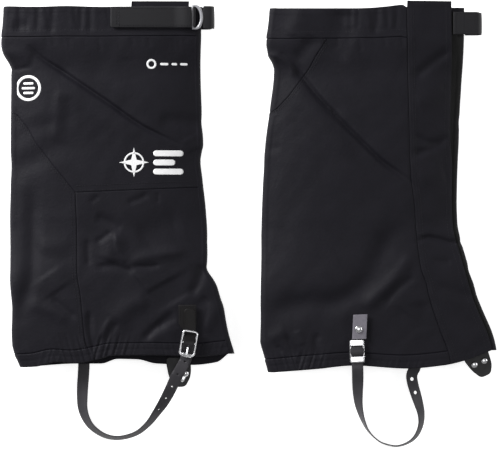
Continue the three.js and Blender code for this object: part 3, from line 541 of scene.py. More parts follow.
def joined(parts):
    """Several (points, faces) as one."""
    points, faces, count = [], [], 0
    for p, f in parts:
        points.append(p)
        faces.extend([[int(i) + count for i in face] for face in f])
        count += len(p)
    return np.vstack(points), faces


def area_of(points, quads):
    a, b, c, d = (points[quads[:, k]] for k in range(4))
    return 0.5 * np.linalg.norm(np.cross(c - a, d - b), axis=1).sum()


def graded(length, step):
    """Positions from 0 to length, closer together near both ends."""
    if length < 2.5 * EDGE:
        return np.linspace(0, length, max(4, int(length / FINE) + 1))
    edge = np.concatenate([[0, 0.25], np.arange(FINE, EDGE, FINE)])
    count = max(2, round((length - 2 * EDGE) / step))
    middle = np.linspace(EDGE, length - EDGE, count + 1)
    return np.concatenate([edge, middle, length - edge[::-1]])


def spread(tube, low, high, step):
    """Arc positions round the tube: closest at both ends, coarser on the side face down."""
    marks, a = [low, low + 0.25], low + FINE
    up = 0.5 if tube.spec["lateral_up"] else 2.5
    while a < high - 0.4:
        marks.append(a)
        away = abs((float(tube.at_arc(a, 0.5)) - up + 2) % 4 - 2)
        local = step if away < 0.55 else 1.7 if away < 1.5 else 2.8
        a += FINE if min(a - low, high - a) < 6 else local
    return np.array(marks + [high - 0.2, high])


def patch(tube, name, start, end, bottom, top, material, thick=CLOTH, outer=0.0,
          over=(0, 0, 0, 0), under=(0, 0, 0, 0), step=(1.25, 1.45), extra=None):
    """A piece of cloth between two s lines and two h lines. `over` raises and rounds a side
    (start, end, bottom, top) by that much, and `under` runs it that far below its neighbour."""
    middle = 0.5 * (bottom + top)
    height = (top - bottom) * HEIGHT
    rows = graded(height + under[2] + under[3], step[1]) - under[2]
    hs = bottom + rows / HEIGHT
    ends = [(float(tube.arc(start(h), h)), float(tube.arc(end(h), h)))
            for h in (bottom, middle, top)]
    low, high = max(ends, key=lambda pair: pair[1] - pair[0])
    width = high - low + under[0] + under[1]
    columns = spread(tube, low - under[0], high + under[1], step[0]) - low
    s, h, d = [], [], []
    for v, hv in zip(rows, hs):
        hc = min(max(hv, bottom), top)
        a0, a1 = float(tube.arc(start(hc), hv)), float(tube.arc(end(hc), hv))
        a = a0 + columns * (a1 - a0 + under[0] + under[1]) / width
        past = [a0 - a, a - a1, np.full(len(a), -v), np.full(len(a), v - height)]
        depth = np.full(len(a), float(outer))
        for p, o, u in zip(past, over, under):
            if u:
                depth = np.maximum(depth, outer + 1.0 * ramp(p, -1.4, 0.5))
            if o:
                depth -= o * (1 - ramp(-p, 4.5, 8))
                rim = np.clip(0.6 + p, 0, 0.6)
                depth += 0.6 - np.sqrt(0.36 - rim**2)
        s.append(tube.at_arc(a, hv))
        h.append(np.full(len(a), hv))
        d.append(depth)
    s, h, d = np.concatenate(s), np.concatenate(h), np.concatenate(d)
    if extra is not None:
        d = d + extra(s, h)
    quads = grid(len(rows), len(columns))
    top_side, inner = tube.place(s, h, d), tube.place(s, h, d + thick)
    points, faces, rim = shell(top_side, inner, quads)
    cloth = make(name, points, faces, material, rim)
    area = area_of(top_side, quads) * MM * MM
    longest = (height + under[2] + under[3]) * MM
    cloth["cut"] = [max(width * MM, area / longest), longest, area]
    return cloth


def stitches(name, tube, lines, pitch=3.1, length=2.2):
    """Rows of thread. Each line is (s, h) points on a tube or, without one, points and normals."""
    parts = []
    ring = np.linspace(0, 2 * math.pi, 7)[:-1]
    along = np.array([-1, -0.8, -0.3, 0.3, 0.8, 1])
    fat = np.array([0.25, 0.8, 1, 1, 0.8, 0.25])
    for line in lines:
        if tube is None:
            path, normal = line
            normal = np.broadcast_to(normal, np.shape(path))
        else:
            s, h = np.array(line, float).T
            path = tube.place(s, h)
            normal = unit(path - tube.place(s, h, 1.0))
        distance = lengths(path)
        for start in np.arange(pitch * 0.4, distance[-1] - length, pitch):
            at = start + length * (along + 1) / 2
            centre = at_lengths(path, distance, at)
            up = unit(at_lengths(normal, distance, at))
            centre = centre + up * (0.18 - 0.34 * along[:, None] ** 4)
            side = unit(np.cross(up, unit(centre[-1] - centre[0])))
            body = (centre[:, None] + THREAD_RADIUS * fat[:, None, None]
                    * (np.cos(ring)[None, :, None] * side[:, None]
                       + np.sin(ring)[None, :, None] * up[:, None])).reshape(-1, 3)
            faces = [[i * 6 + j, i * 6 + (j + 1) % 6, i * 6 + 6 + (j + 1) % 6, i * 6 + 6 + j]
                     for i in range(5) for j in range(6)]
            faces += [[5, 4, 3, 2, 1, 0], list(range(30, 36))]
            parts.append((body, faces))
    return make(name, *joined(parts), THREAD)


def sweep(path, normal, radius, sides=14, closed=False):
    """Round wire along a path in the plane across `normal`; radius may change along it."""
    path = np.asarray(path, float)
    n = len(path)
    radius = np.broadcast_to(radius, n)
    if closed:
        tangent = np.roll(path, -1, 0) - np.roll(path, 1, 0)
    else:
        tangent = np.gradient(path, axis=0)
    side = unit(np.cross(unit(tangent), normal))
    up = unit(np.cross(side, unit(tangent)))
    angle = np.linspace(0, 2 * math.pi, sides, endpoint=False)
    rings = (path[:, None] + radius[:, None, None] * (np.cos(angle)[None, :, None] * side[:, None]
             + np.sin(angle)[None, :, None] * up[:, None]))
    points = rings.reshape(-1, 3)
    faces = []
    for i in range(n if closed else n - 1):
        k = (i + 1) % n
        for j in range(sides):
            m = (j + 1) % sides
            faces.append([i * sides + j, i * sides + m, k * sides + m, k * sides + j])
    if not closed:
        faces += [list(range(sides))[::-1], list(range((n - 1) * sides, n * sides))]
    return points, faces


def outward(points, faces):
    """The same solid with its faces turned outwards."""
    volume = sum(np.dot(points[f[0]], np.cross(points[f[i]], points[f[i + 1]]))
                 for f in faces for i in range(1, len(f) - 1))
    return points, faces if volume > 0 else [f[::-1] for f in faces]


def lathe(profile, sides=32):
    """A profile of (radius, z) turned about z; it starts and ends on the axis or is closed."""
    profile = np.array(profile, float)
    closed = np.allclose(profile[0], profile[-1])
    if closed:
        profile = profile[:-1]
    points, rows = [], []
    for r, z in profile:
        if r < 1e-9:
            rows.append([len(points)] * sides)
            points.append((0, 0, z))
        else:
            rows.append(list(range(len(points), len(points) + sides)))
            for a in np.linspace(0, 2 * math.pi, sides, endpoint=False):
                points.append((r * math.cos(a), r * math.sin(a), z))
    faces = []
    for a, b in zip(rows, rows[1:] + rows[:1] if closed else rows[1:]):
        for j in range(sides):
            k = (j + 1) % sides
            face = [a[j], a[k], b[k], b[j]]
            kept = [v for i, v in enumerate(face) if v != face[i - 1]]
            if len(kept) > 2:
                faces.append(kept)
    return outward(np.array(points), faces)


def merged(nets):
    """Several flat nets of (points, quads) with the points they share made one."""
    points = np.vstack([p for p, _ in nets])
    count, quads = 0, []
    for p, q in nets:
        quads.append(q + count)
        count += len(p)
    quads = np.vstack(quads)
    _, first, back = np.unique(np.round(points, 4), axis=0, return_index=True, return_inverse=True)
    return points[first], back.ravel()[quads]


def strip_net(length, columns, holes, step=1.6):
    """A flat strip: along 0..length, across the given columns; holes are (along, half length,
    half width) in the middle of it."""
    nets, start = [], 0.0
    for at, half, wide in sorted(holes) + [(None, 0, 0)]:
        stop = length if at is None else at - half - 1.5
        if stop > start + 1e-6:
            rows = np.linspace(start, stop, max(2, int((stop - start) / step) + 2))
            a, b = np.meshgrid(rows, columns, indexing="ij")
            nets.append((np.stack([a.ravel(), b.ravel()], 1), grid(len(rows), len(columns))))
        if at is None:
            break
        low, high = at - half - 1.5, at + half + 1.5
        sides = np.linspace(low, high, 9)
        edge = np.array([(low, b) for b in columns] + [(a, columns[-1]) for a in sides[1:-1]]
                        + [(high, b) for b in columns[::-1]]
                        + [(a, columns[0]) for a in sides[-2:0:-1]], float)
        angle = np.arctan2(edge[:, 1] / columns[-1], (edge[:, 0] - at) / (half + 1.5))
        hole = np.stack([at + half * np.cos(angle), wide * np.sin(angle)], 1)
        shares = np.array([0, 0.25, 0.6, 1])
        rings = hole + (edge - hole) * shares[:, None, None]
        n = len(edge)
        quads = [[k * n + i, k * n + (i + 1) % n, (k + 1) * n + (i + 1) % n, (k + 1) * n + i]
                 for k in range(len(shares) - 1) for i in range(n)]
        quads = np.array(quads)[:, ::-1]
        nets.append((rings.reshape(-1, 2), quads))
        start = high
    return merged(nets)


def ribbon(name, path, across, width, thick, material, holes=(), width_at=None, step=1.6,
           crown=0.45):
    """A flat strip along a path; `across` is its width direction, or one for each point."""
    path = np.asarray(path, float)
    across = np.broadcast_to(unit(across), path.shape)
    distance = lengths(path)
    tangent = unit(np.gradient(path, axis=0))
    normal = unit(np.cross(across, tangent))
    half = width / 2
    columns = half * np.array([-1, -0.96, -0.88, -0.6, -0.3, 0, 0.3, 0.6, 0.88, 0.96, 1])
    net, quads = strip_net(distance[-1], columns, list(holes), step)

    along, beside = net.T
    share = np.ones(len(net)) if width_at is None else width_at(along)
    sideways = at_lengths(across, distance, along) * (beside * share)[:, None]
    centre = at_lengths(path, distance, along) + sideways
    round_off = thick * (1 - crown * np.abs(beside / half) ** 7) / 2
    lift = at_lengths(normal, distance, along) * round_off[:, None]
    points, faces, rim = shell(centre + lift, centre - lift, quads)
    return make(name, points, faces, material, rim)


# ---- materials ----
class Nodes:
    """Short calls for building a material's node tree."""

    def __init__(self, name, colour, roughness, metallic=0.0, **more):
        self.material = bpy.data.materials.new(name)
        self.material.use_nodes = True
        self.tree = self.material.node_tree
        self.shader = self.tree.nodes["Principled BSDF"]
        self.set(self.shader, **{"Base Color": (*colour, 1), "Roughness": roughness,
                                 "Metallic": metallic, **more})
        coordinates = self.add("ShaderNodeTexCoord")
        self.where = coordinates.outputs["Object"]

    def add(self, kind, inputs=None, **settings):
        node = self.tree.nodes.new(kind)
        for key, value in settings.items():
            setattr(node, key, value)
        self.set(node, **(inputs or {}))
        return node

    def set(self, node, **values):
        for key, value in values.items():
            socket = node.inputs[int(key[1:])] if key[0] == "_" else node.inputs[key]
            if isinstance(value, bpy.types.NodeSocket):
                self.tree.links.new(value, socket)
            else:
                socket.default_value = value

    def noise(self, scale, detail=3.0, rough=0.55):
        node = self.add("ShaderNodeTexNoise", {"Vector": self.where, "Scale": scale,
                                               "Detail": detail, "Roughness": rough})
        return node.outputs["Fac"]

    def wave(self, direction, pitch, distort=0.0, vector=None):
        node = self.add("ShaderNodeTexWave", {"Vector": vector or self.where,
                                              "Scale": math.pi / (10 * pitch * MM),
                                              "Distortion": distort}, bands_direction=direction)
        return node.outputs["Fac"]

    def maths(self, operation, a, b):
        node = self.add("ShaderNodeMath", {"_0": a, "_1": b}, operation=operation)
        return node.outputs[0]

    def span(self, value, low, high):
        node = self.add("ShaderNodeMapRange", {"Value": value, "To Min": low, "To Max": high})
        return node.outputs["Result"]

    def tint(self, value, dark, light):
        node = self.add("ShaderNodeMix", {"Factor": value}, data_type="RGBA")
        node.inputs[6].default_value = (*dark, 1)
        node.inputs[7].default_value = (*light, 1)
        self.set(self.shader, **{"Base Color": node.outputs[2]})

    def shade(self, share, colour):
        """Turn the base colour towards another where `share` is 1."""
        node = self.add("ShaderNodeMix", {"Factor": share}, data_type="RGBA")
        self.set(node, _6=self.shader.inputs["Base Color"].links[0].from_socket)
        node.inputs[7].default_value = (*colour, 1)
        self.set(self.shader, **{"Base Color": node.outputs[2]})

    def bump(self, *layers):
        normal = None
        for height, distance, strength in layers:
            node = self.add("ShaderNodeBump", {"Height": height, "Distance": distance * MM,
                                               "Strength": strength})
            if normal is not None:
                self.set(node, Normal=normal)
            normal = node.outputs["Normal"]
        self.set(self.shader, Normal=normal)


def slanted(n, x, y, z):
    """Object coordinates mixed into one running direction, so a weave follows round edges."""
    node = n.add("ShaderNodeVectorMath", {"_0": n.where, "_1": (x, y, z)}, operation="DOT_PRODUCT")
    joined_up = n.add("ShaderNodeCombineXYZ", {"X": node.outputs["Value"]})
    return joined_up.outputs["Vector"]


def shell_fabric():
    n = Nodes("shell_fabric", (0.012, 0.0115, 0.0155), 0.62,
              **{"Sheen Weight": 0.015, "Sheen Roughness": 0.4, "Sheen Tint": (0.6, 0.6, 0.75, 1),
                 "Specular IOR Level": 0.1})
    warp = n.wave("X", 0.62, vector=slanted(n, 1, 0, 1))
    weft = n.wave("X", 0.62, vector=slanted(n, 0, 1, 0))
    weave = n.maths("MULTIPLY", warp, weft)
    cloudy = n.noise(38, 5)
    n.tint(cloudy, (0.0068, 0.0064, 0.009), (0.0112, 0.0106, 0.0146))
    n.set(n.shader, Roughness=n.span(n.noise(120, 4), 0.5, 0.68))
    n.bump((n.noise(70, 5, 0.65), 1.1, 0.6), (n.noise(420, 4), 0.25, 0.6), (weave, 0.09, 0.45))
    return n.material


def webbing(name, x, y, z):
    """Woven band that runs along the given direction."""
    n = Nodes(name, (0.012, 0.012, 0.013), 0.6, **{"Sheen Weight": 0.04, "Sheen Roughness": 0.5,
              "Specular IOR Level": 0.25})
    ribs = n.wave("X", 0.95, 0.4, vector=slanted(n, x, y, z))
    cross = n.wave("X", 1.5, 0.4, vector=slanted(n, y, x, z))
    n.tint(n.maths("MULTIPLY", ribs, n.noise(260, 2)), (0.0056, 0.0054, 0.007),
           (0.0092, 0.0089, 0.0114))
    n.bump((cross, 0.1, 0.35), (ribs, 0.12, 0.5))
    return n.material


def loop_tape():
    n = Nodes("loop_tape", (0.008, 0.008, 0.008), 0.95, **{"Sheen Weight": 0.08,
              "Sheen Roughness": 0.7, "Specular IOR Level": 0.1})
    pile = n.noise(2600, 6, 0.8)
    n.tint(pile, (0.0018, 0.0018, 0.0018), (0.010, 0.010, 0.010))
    n.bump((pile, 0.5, 1.0), (n.noise(700, 3), 0.5, 0.7))
    return n.material


def strap_plastic():
    n = Nodes("strap_plastic", (0.036, 0.035, 0.039), 0.45, **{"Specular IOR Level": 0.15})
    grain = n.noise(900, 4, 0.7)
    n.tint(n.noise(55, 4), (0.032, 0.031, 0.035), (0.053, 0.051, 0.057))
    # Painted shade: from y = -0.142 m up to -0.126 m and above, the strap's colour turns to near
    # black, so the tip end above the buckle looks as if it lies in shade.
    height = n.add("ShaderNodeSeparateXYZ", {"Vector": n.where}).outputs["Y"]
    n.shade(n.add("ShaderNodeMapRange", {"Value": height, "From Min": -0.142,
                                         "From Max": -0.126}).outputs["Result"],
            (0.006, 0.0055, 0.0057))
    n.set(n.shader, Roughness=n.span(n.noise(240, 4), 0.34, 0.52))
    n.bump((grain, 0.12, 0.5), (n.noise(180, 2), 0.2, 0.35))
    return n.material


def mottled(name, dark, light, patches, roughness, bumps, metallic=0.0, **more):
    """Two close colours in patches; roughness is one value, or (noise, lowest, highest)."""
    uneven = isinstance(roughness, tuple)
    n = Nodes(name, dark, roughness[1] if uneven else roughness, metallic, **more)
    n.tint(n.noise(*patches), dark, light)
    if uneven:
        grain, low, high = roughness
        n.set(n.shader, Roughness=n.span(n.noise(*grain), low, high))
    n.bump(*[(n.noise(*grain), height, strength) for grain, height, strength in bumps])
    return n.material


def chape_plastic():
    return mottled("chape_plastic", (0.006, 0.0056, 0.006), (0.0115, 0.0105, 0.011), (90, 4),
                   ((240, 4), 0.45, 0.62), [((700, 4, 0.7), 0.12, 0.5)],
                   **{"Specular IOR Level": 0.12})


def leather():
    n = Nodes("grey_leather", (0.13, 0.12, 0.145), 0.6, **{"Specular IOR Level": 0.3})
    cells = n.add("ShaderNodeTexVoronoi", {"Vector": n.where, "Scale": 1500.0})
    n.tint(n.noise(200, 5), (0.122, 0.115, 0.137), (0.2, 0.188, 0.218))
    n.bump((cells.outputs["Distance"], 0.14, 0.5), (n.noise(300, 3), 0.2, 0.4))
    return n.material


def rubber():
    return mottled("tab_rubber", (0.009, 0.009, 0.01), (0.018, 0.018, 0.02), (70, 4),
                   ((300, 4), 0.38, 0.6), [((1000, 4, 0.7), 0.1, 0.5)],
                   **{"Specular IOR Level": 0.35})


def steel():
    return mottled("bright_steel", (0.62, 0.62, 0.64), (0.82, 0.82, 0.84), (120, 3),
                   ((500, 5, 0.7), 0.12, 0.3), [((900, 4, 0.7), 0.03, 0.35)], metallic=1.0)


def ring_plastic():
    return mottled("ring_plastic", (0.22, 0.22, 0.24), (0.34, 0.34, 0.36), (150, 3), 0.32,
                   [((1200, 3), 0.04, 0.4)], **{"Coat Weight": 0.4, "Coat Roughness": 0.15})


def thread():
    return mottled("thread", (0.008, 0.008, 0.0105), (0.0155, 0.015, 0.019), (900, 2), 0.6,
                   [((2500, 2), 0.08, 0.6)], **{"Specular IOR Level": 0.2})


def print_ink():
    return mottled("print_ink", (0.74, 0.74, 0.75), (0.88, 0.88, 0.89), (160, 4), 0.55,
                   [((900, 4), 0.05, 0.4)])


def hook_plastic():
    n = Nodes("hook_tape", (0.008, 0.008, 0.008), 0.5)
    knobs = n.maths("MULTIPLY", n.wave("X", 1.4), n.wave("Y", 1.4))
    n.tint(knobs, (0.003, 0.003, 0.003), (0.02, 0.02, 0.02))
    n.bump((knobs, 0.4, 0.8))
    return n.material


FABRIC = shell_fabric()
WEB_ALONG_X = webbing("cinch_webbing", 1, 0, 0)
WEB_ALONG_Y = webbing("ring_webbing", 0, 1, 0)
TAPE = loop_tape()
HOOKS = hook_plastic()
STRAP_LOOK = strap_plastic()
CHAPE_LOOK = chape_plastic()
LEATHER = leather()
RUBBER = rubber()
STEEL = steel()
RING = ring_plastic()
THREAD = thread()
INK = print_ink()


# ---- assembly helpers ----
def fit(piece, body, slot, replaces=()):
    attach(piece, body)
    if replaces:
        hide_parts(*replaces)


def sew(name, body, slot, tube, lines, **more):
    fit(stitches(name, tube, lines, **more), body, slot)


def bevel(piece, width):
    modifier = piece.modifiers.new("edge", "BEVEL")
    modifier.width = width * MM
    modifier.segments = 3
    modifier.limit_method = "ANGLE"
    modifier.angle_limit = math.radians(35)
    return piece


class Mount:
    """A local frame of fittings: +Y up the strap, +Z away from the cloth."""

    def __init__(self, tube, spot, lateral):
        x, y, turn = spot
        span = tube.front(0.06) - tube.rear(0.06)
        up = lateral == tube.spec["lateral_up"]
        level = float(tube.level(up, (x - tube.rear(0.06)) / span, 0.05))
        self.flip = 1 if up else -1
        self.origin = np.array([x, y, level + self.flip * GAP])
        a = math.radians(turn)
        self.turn = np.array([[math.cos(a), -math.sin(a), 0], [math.sin(a), math.cos(a), 0],
                              [0, 0, 1]])

    def out(self, points):
        turned = np.asarray(points, float) @ self.turn.T
        turned[:, 2] *= self.flip
        return turned + self.origin

    def direction(self, v):
        turned = self.turn @ np.array(v, float)
        turned[2] *= self.flip
        return turned

    def make(self, name, solid, material):
        points, faces = solid
        return make(name, *outward(self.out(points), faces), material)


def leaning_width(mount, ys):
    """Width direction of a band that turns from the buckle's line to the leaning one."""
    return [mount.direction((1, LEAN * ramp(y, 8, 14), 0)) for y in ys]


def yz(points, lean=0.0):
    """Points in the middle plane of a fitting, leaning over beyond LEAN_FROM."""
    return np.array([(-lean * max(0, y - LEAN_FROM), y, z) for y, z in points], float)


# ---- the cloth of one gaiter ----
def shift_arc(tube, line, amount):
    """A line of (s, h) moved round the tube by so many mm."""
    s, h = np.array(line, float).T
    moved = [tube.at_arc(tube.arc(a, b) + amount, b) for a, b in zip(s, h)]
    return np.stack([moved, h], 1)


def level_line(start, end, h, count=80):
    return np.stack([np.linspace(start, end, count), np.full(count, h)], 1)


def cloth(tube):
    name = tube.spec["name"]
    seam = lambda h: np.where(h < CROSS_SEAM, REAR_SEAM, table_at(DIAGONAL, h))
    front = lambda h: -0.07 + 0 * h
    flap = tube.flap_start
    behind_flap = lambda away: lambda h: tube.medial_at(h, tube.chord(h) + away)
    sunk = lambda s, h: UNDER * (1 - ramp(s, 2.9, 3.7))
    tucked = (0, TUCK, TUCK, TUCK)

    def sewn(kind, nodes, *lines, look=FABRIC, slot="shell_fabric", **more):
        """A piece between two s lines and two h lines, in place of CAD nodes."""
        piece = patch(tube, f"{name}_{kind}", *lines, look, **more)
        fit(piece, f"{name}_shell", slot, [f"{name}_{node}" for node in nodes])

    sewn("upper_panel_cloth", ["upper_panel"], front, seam, CROSS_SEAM, TOP_HEM,
         over=(0, 0, 0.3, 0), under=(0, TUCK, 0, TUCK))
    sewn("lower_panel_cloth", ["lower_panel"], front, seam, BOTTOM_HEM, CROSS_SEAM, under=tucked)
    sewn("rear_panel_cloth", ["rear_panel"], seam, flap, BOTTOM_HEM, TOP_HEM,
         over=(0.3, 0, 0, 0), under=tucked, step=(1.4, 1.65))
    sewn("top_casing", ["top_hem", "top_elastic", "top_facing"], front, flap, TOP_HEM, 1.0,
         thick=3.4, over=(0, 0, 0.3, 0.25), under=(0, TUCK, 0, 0), step=(1.1, 1.6))
    sewn("bottom_casing", ["bottom_hem", "bottom_elastic"], front, flap, 0.0, BOTTOM_HEM,
         thick=2.6, over=(0, 0, 0.25, 0.3), under=(0, TUCK, 0, 0), step=(1.1, 1.2))
    sewn("underflap_cloth", ["underflap"], behind_flap(4), lambda h: UNDERFLAP_END + 0 * h,
         0.0, 1.0, thick=1.0, step=(1.6, 2.2), extra=sunk)
    sewn("loop_pile", ["loop_tape"], behind_flap(6), lambda h: TAPE_END + 0 * h, 0.04, 0.985,
         look=TAPE, slot="loop_tape", thick=0.9, step=(1.6, 2.2),
         extra=lambda s, h: sunk(s, h) - 0.85)


def flap(tube):
    spec = tube.spec
    name = spec["name"]
    start = lambda h: tube.flap_start(np.minimum(h, 1))
    piece = patch(tube, f"{name}_front_flap_cloth", start, tube.flap_edge, 0.0, FLAP_TOP, FABRIC,
                  thick=1.1, over=(0.25, 0.25, 0.25, 0.25))
    top = np.array([tube.chord(1), spec["top"]])
    bottom = np.array([tube.chord(0), float(tube.y(0.8, 0.0, 0.5))])
    level = float(tube.level(not spec["lateral_up"], 0.8, 0.5))
    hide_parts(f"{name}_front_flap")
    h = np.linspace(0.01, FLAP_TOP - 0.012, 150)
    base, edge = np.stack([start(h), h], 1), np.stack([tube.flap_edge(h), h], 1)
    lines = [shift_arc(tube, base, away) for away in (1.6, 4.2, 7.0)]
    lines += [shift_arc(tube, edge, away) for away in (-1.8, -6.0)]
    ends = [float(start(FLAP_TOP - 0.012)), float(tube.flap_edge(1))]
    lines.append(level_line(ends[0] + 0.01, ends[1] - 0.01, FLAP_TOP - 0.008))
    sewn = stitches(f"{name}_flap_stitches", tube, lines)
    hooks = patch(tube, f"{name}_hook_strip", lambda h: tube.medial_at(h, tube.chord(h) + 6),
                  lambda h: tube.flap_edge(h) - 0.012, 0.05, 0.97, HOOKS, thick=0.7, outer=1.15,
                  step=(2.4, 3.0))
    fit(hooks, f"{name}_flap", "hook_tape", [f"{name}_hook_tape"])
    for part in (piece, sewn):
        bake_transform(part)


def seams(tube):
    name = tube.spec["name"]
    top, bottom = float(tube.flap_start(0.95)), float(tube.flap_start(BOTTOM_HEM))
    lines = [level_line(0.0, top, TOP_HEM + above, 300) for above in (0.006, 0.018)]
    lines.append(level_line(0.0, bottom, BOTTOM_HEM - 0.004, 300))
    lines += [level_line(0.0, REAR_SEAM, CROSS_SEAM + above, 120) for above in (0.004, 0.0175)]
    low = np.stack([np.full(80, REAR_SEAM), np.linspace(0.002, CROSS_SEAM, 80)], 1)
    lines += [shift_arc(tube, low, away) for away in (1.5, 4.6)]
    diagonal = DIAGONAL[:-1] + [(TOP_HEM, 2.255)]
    h = np.linspace(CROSS_SEAM, TOP_HEM, 140)
    high = np.stack([table_at(diagonal, h), h], 1)
    lines += [shift_arc(tube, high, away) for away in (1.6, 4.4)]
    sew(f"{name}_seam_stitches", f"{name}_shell", "shell_fabric", tube, lines)


# ---- prints: plain shapes, no lettering ----
def sheet_grid(x0, x1, y0, y1, step=1.6):
    xs = np.linspace(x0, x1, max(2, int((x1 - x0) / step) + 2))
    ys = np.linspace(y0, y1, max(2, int((y1 - y0) / step) + 2))
    a, b = np.meshgrid(xs, ys, indexing="ij")
    return np.stack([a.ravel(), b.ravel()], 1), grid(len(xs), len(ys))


def bar(x, y, length, height):
    """A bar with round ends."""
    points, quads = sheet_grid(-1, 1, -1, 1, 0.12)
    half, r = length / 2, height / 2
    px, py = points.T
    curve_in = r * (1 - np.sqrt(1 - py**2 * 0.999))
    return np.stack([x + px * (half - curve_in * np.abs(px)), y + py * r], 1), quads


def annulus(x, y, inner, outer, count=72):
    angle = np.linspace(0, 2 * math.pi, count, endpoint=False)
    rings = [np.stack([x + r * np.cos(angle), y + r * np.sin(angle)], 1)
             for r in np.linspace(inner, outer, 4)]
    i = np.arange(count)
    k = (i + 1) % count
    quads = np.vstack([np.stack([j * count + i, j * count + k, (j + 1) * count + k,
                                 (j + 1) * count + i], 1) for j in range(3)])
    return np.vstack(rings), quads


def star(x, y, reach, waist):
    """A four-pointed star made of four kites."""
    nets = []
    for k in range(4):
        a = k * math.pi / 2
        tip = np.array([x + reach * math.cos(a), y + reach * math.sin(a)])
        sides = [np.array([x + waist * math.cos(a + d), y + waist * math.sin(a + d)])
                 for d in (-math.pi / 4, math.pi / 4)]
        u, v = np.meshgrid(np.linspace(0, 1, 9), np.linspace(0, 1, 9), indexing="ij")
        u, v = u.ravel()[:, None], v.ravel()[:, None]
        centre = np.array([x, y])
        points = (centre * (1 - u) * (1 - v) + sides[0] * u * (1 - v) + tip * u * v
                  + sides[1] * (1 - u) * v)
        nets.append((points, grid(9, 9)))
    return merged(nets)


def printed(tube, name, nets):
    parts = []
    for net, quads in nets:
        s, h = tube.inverse(*net.T)
        parts.append(shell(tube.place(s, h, -0.16), tube.place(s, h, -0.02), quads)[:2])
    fit(make(name, *joined(parts), INK), f"{tube.spec['name']}_shell", "shell_fabric")


def prints(tube):
    x, y = -242.3, 150.2
    bars = [bar(x, y + k * 5.2, 15 - 3.5 * abs(k), 2.4) for k in (-1, 0, 1)]
    printed(tube, "right_round_mark", [annulus(x, y, 11.2, 14.2), *bars])
    x, y = -107, 176.5
    dashes = [bar(x + along, y, length, 2.6) for along, length in ((14, 9), (25, 6), (35.5, 8))]
    printed(tube, "right_small_mark", [annulus(x, y, 3.2, 5.4), *dashes])
    x, y = -126, 68.5
    bars = [bar(x + along, y + k * 10, length, 6.4)
            for along, k, length in ((37.5, 1, 33), (33, 0, 24), (37.5, -1, 33))]
    printed(tube, "right_large_mark", [star(x, y, 16.5, 4.2), annulus(x, y, 9.4, 11.2), *bars])


# ---- top closure ----
def cinch(tube):
    spec = tube.spec
    name = spec["name"]
    up = spec["lateral_up"]
    out = 1 if up else -1
    ring_x, ring_y = spec["ring_x"], spec["ring_y"]
    t = tube.across(ring_x, 0.96)
    base_y = table_at(spec["bottom"], t)
    h = (ring_y - base_y) / (spec["top"] - base_y)

    def at(x, lift):
        return np.array([x, ring_y, float(tube.level(up, tube.across(x, h), h)) + out * lift])

    low = GAP + WEBBING / 2
    loop = RING_WIRE + 2 * GAP + WEBBING / 2
    lift = low + loop
    bar_point = at(ring_x, lift)
    start = ring_x - CINCH_LENGTH
    base = [at(x, low) for x in np.linspace(start, ring_x - 4, 20)]
    for a in np.radians(np.linspace(-90, 80, 14)):
        base.append(bar_point + loop * np.array([math.cos(a), 0, out * math.sin(a)]))
    tail_lift = low + WEBBING + GAP
    xs = np.linspace(start - 2, ring_x - 1.6, 40)
    tail = [at(x, lerp(tail_lift, lift + loop, float(ramp(x, ring_x - 22, ring_x - 4))))
            for x in xs]
    strap = ribbon(f"{name}_cinch_base", base, ALONG_Y, CINCH_WIDTH, WEBBING, WEB_ALONG_X)
    fit(strap, f"{name}_shell", "cinch_webbing", [f"{name}_cinch_strap"])
    end = ribbon(f"{name}_cinch_tail_band", tail, ALONG_Y, CINCH_WIDTH + 0.8, WEBBING,
                 WEB_ALONG_X, width_at=lambda a: 0.93 + 0.07 * ramp(a, 0, 2.2))
    body = f"{name}_cinch_tail"
    fit(end, body, "cinch_webbing", [f"{name}_cinch_tail"])
    normal = out * UP
    surface = np.array(tail) + normal * WEBBING / 2
    half = CINCH_WIDTH / 2
    rows = [(surface[3:] + [0, k * (half - 1.6), 0], normal) for k in (-1, 1)]
    for x in (4.5, 7.0):
        column = np.array([at(start + x, tail_lift + WEBBING / 2) + [0, y, 0]
                           for y in np.linspace(-half + 1.6, half - 1.6, 12)])
        rows.append((column, normal))
    sew(f"{name}_cinch_stitches", body, "cinch_webbing", None, rows)
    half, arc = 12.4, 7.2
    ring = [bar_point + [0, y, 0] for y in np.linspace(-half, half, 9)]
    for a in np.radians(np.linspace(80, -80, 28)):
        ring.append(bar_point + [2.5 + arc * math.cos(a), half * math.sin(a), 0])
    loop_path = curve(ring + ring[:1], 2)[:-1]
    fat = RING_WIRE + 0.5 * ramp(loop_path[:, 0] - bar_point[0], 2.5, 7)
    solid = outward(*sweep(loop_path, UP, fat, 14, True))
    wire = make(f"{name}_d_ring_moulding", *solid, RING)
    fit(wire, f"{name}_ring", "ring_plastic", [f"{name}_d_ring"])
    ring_webbing(tube, bar_point)


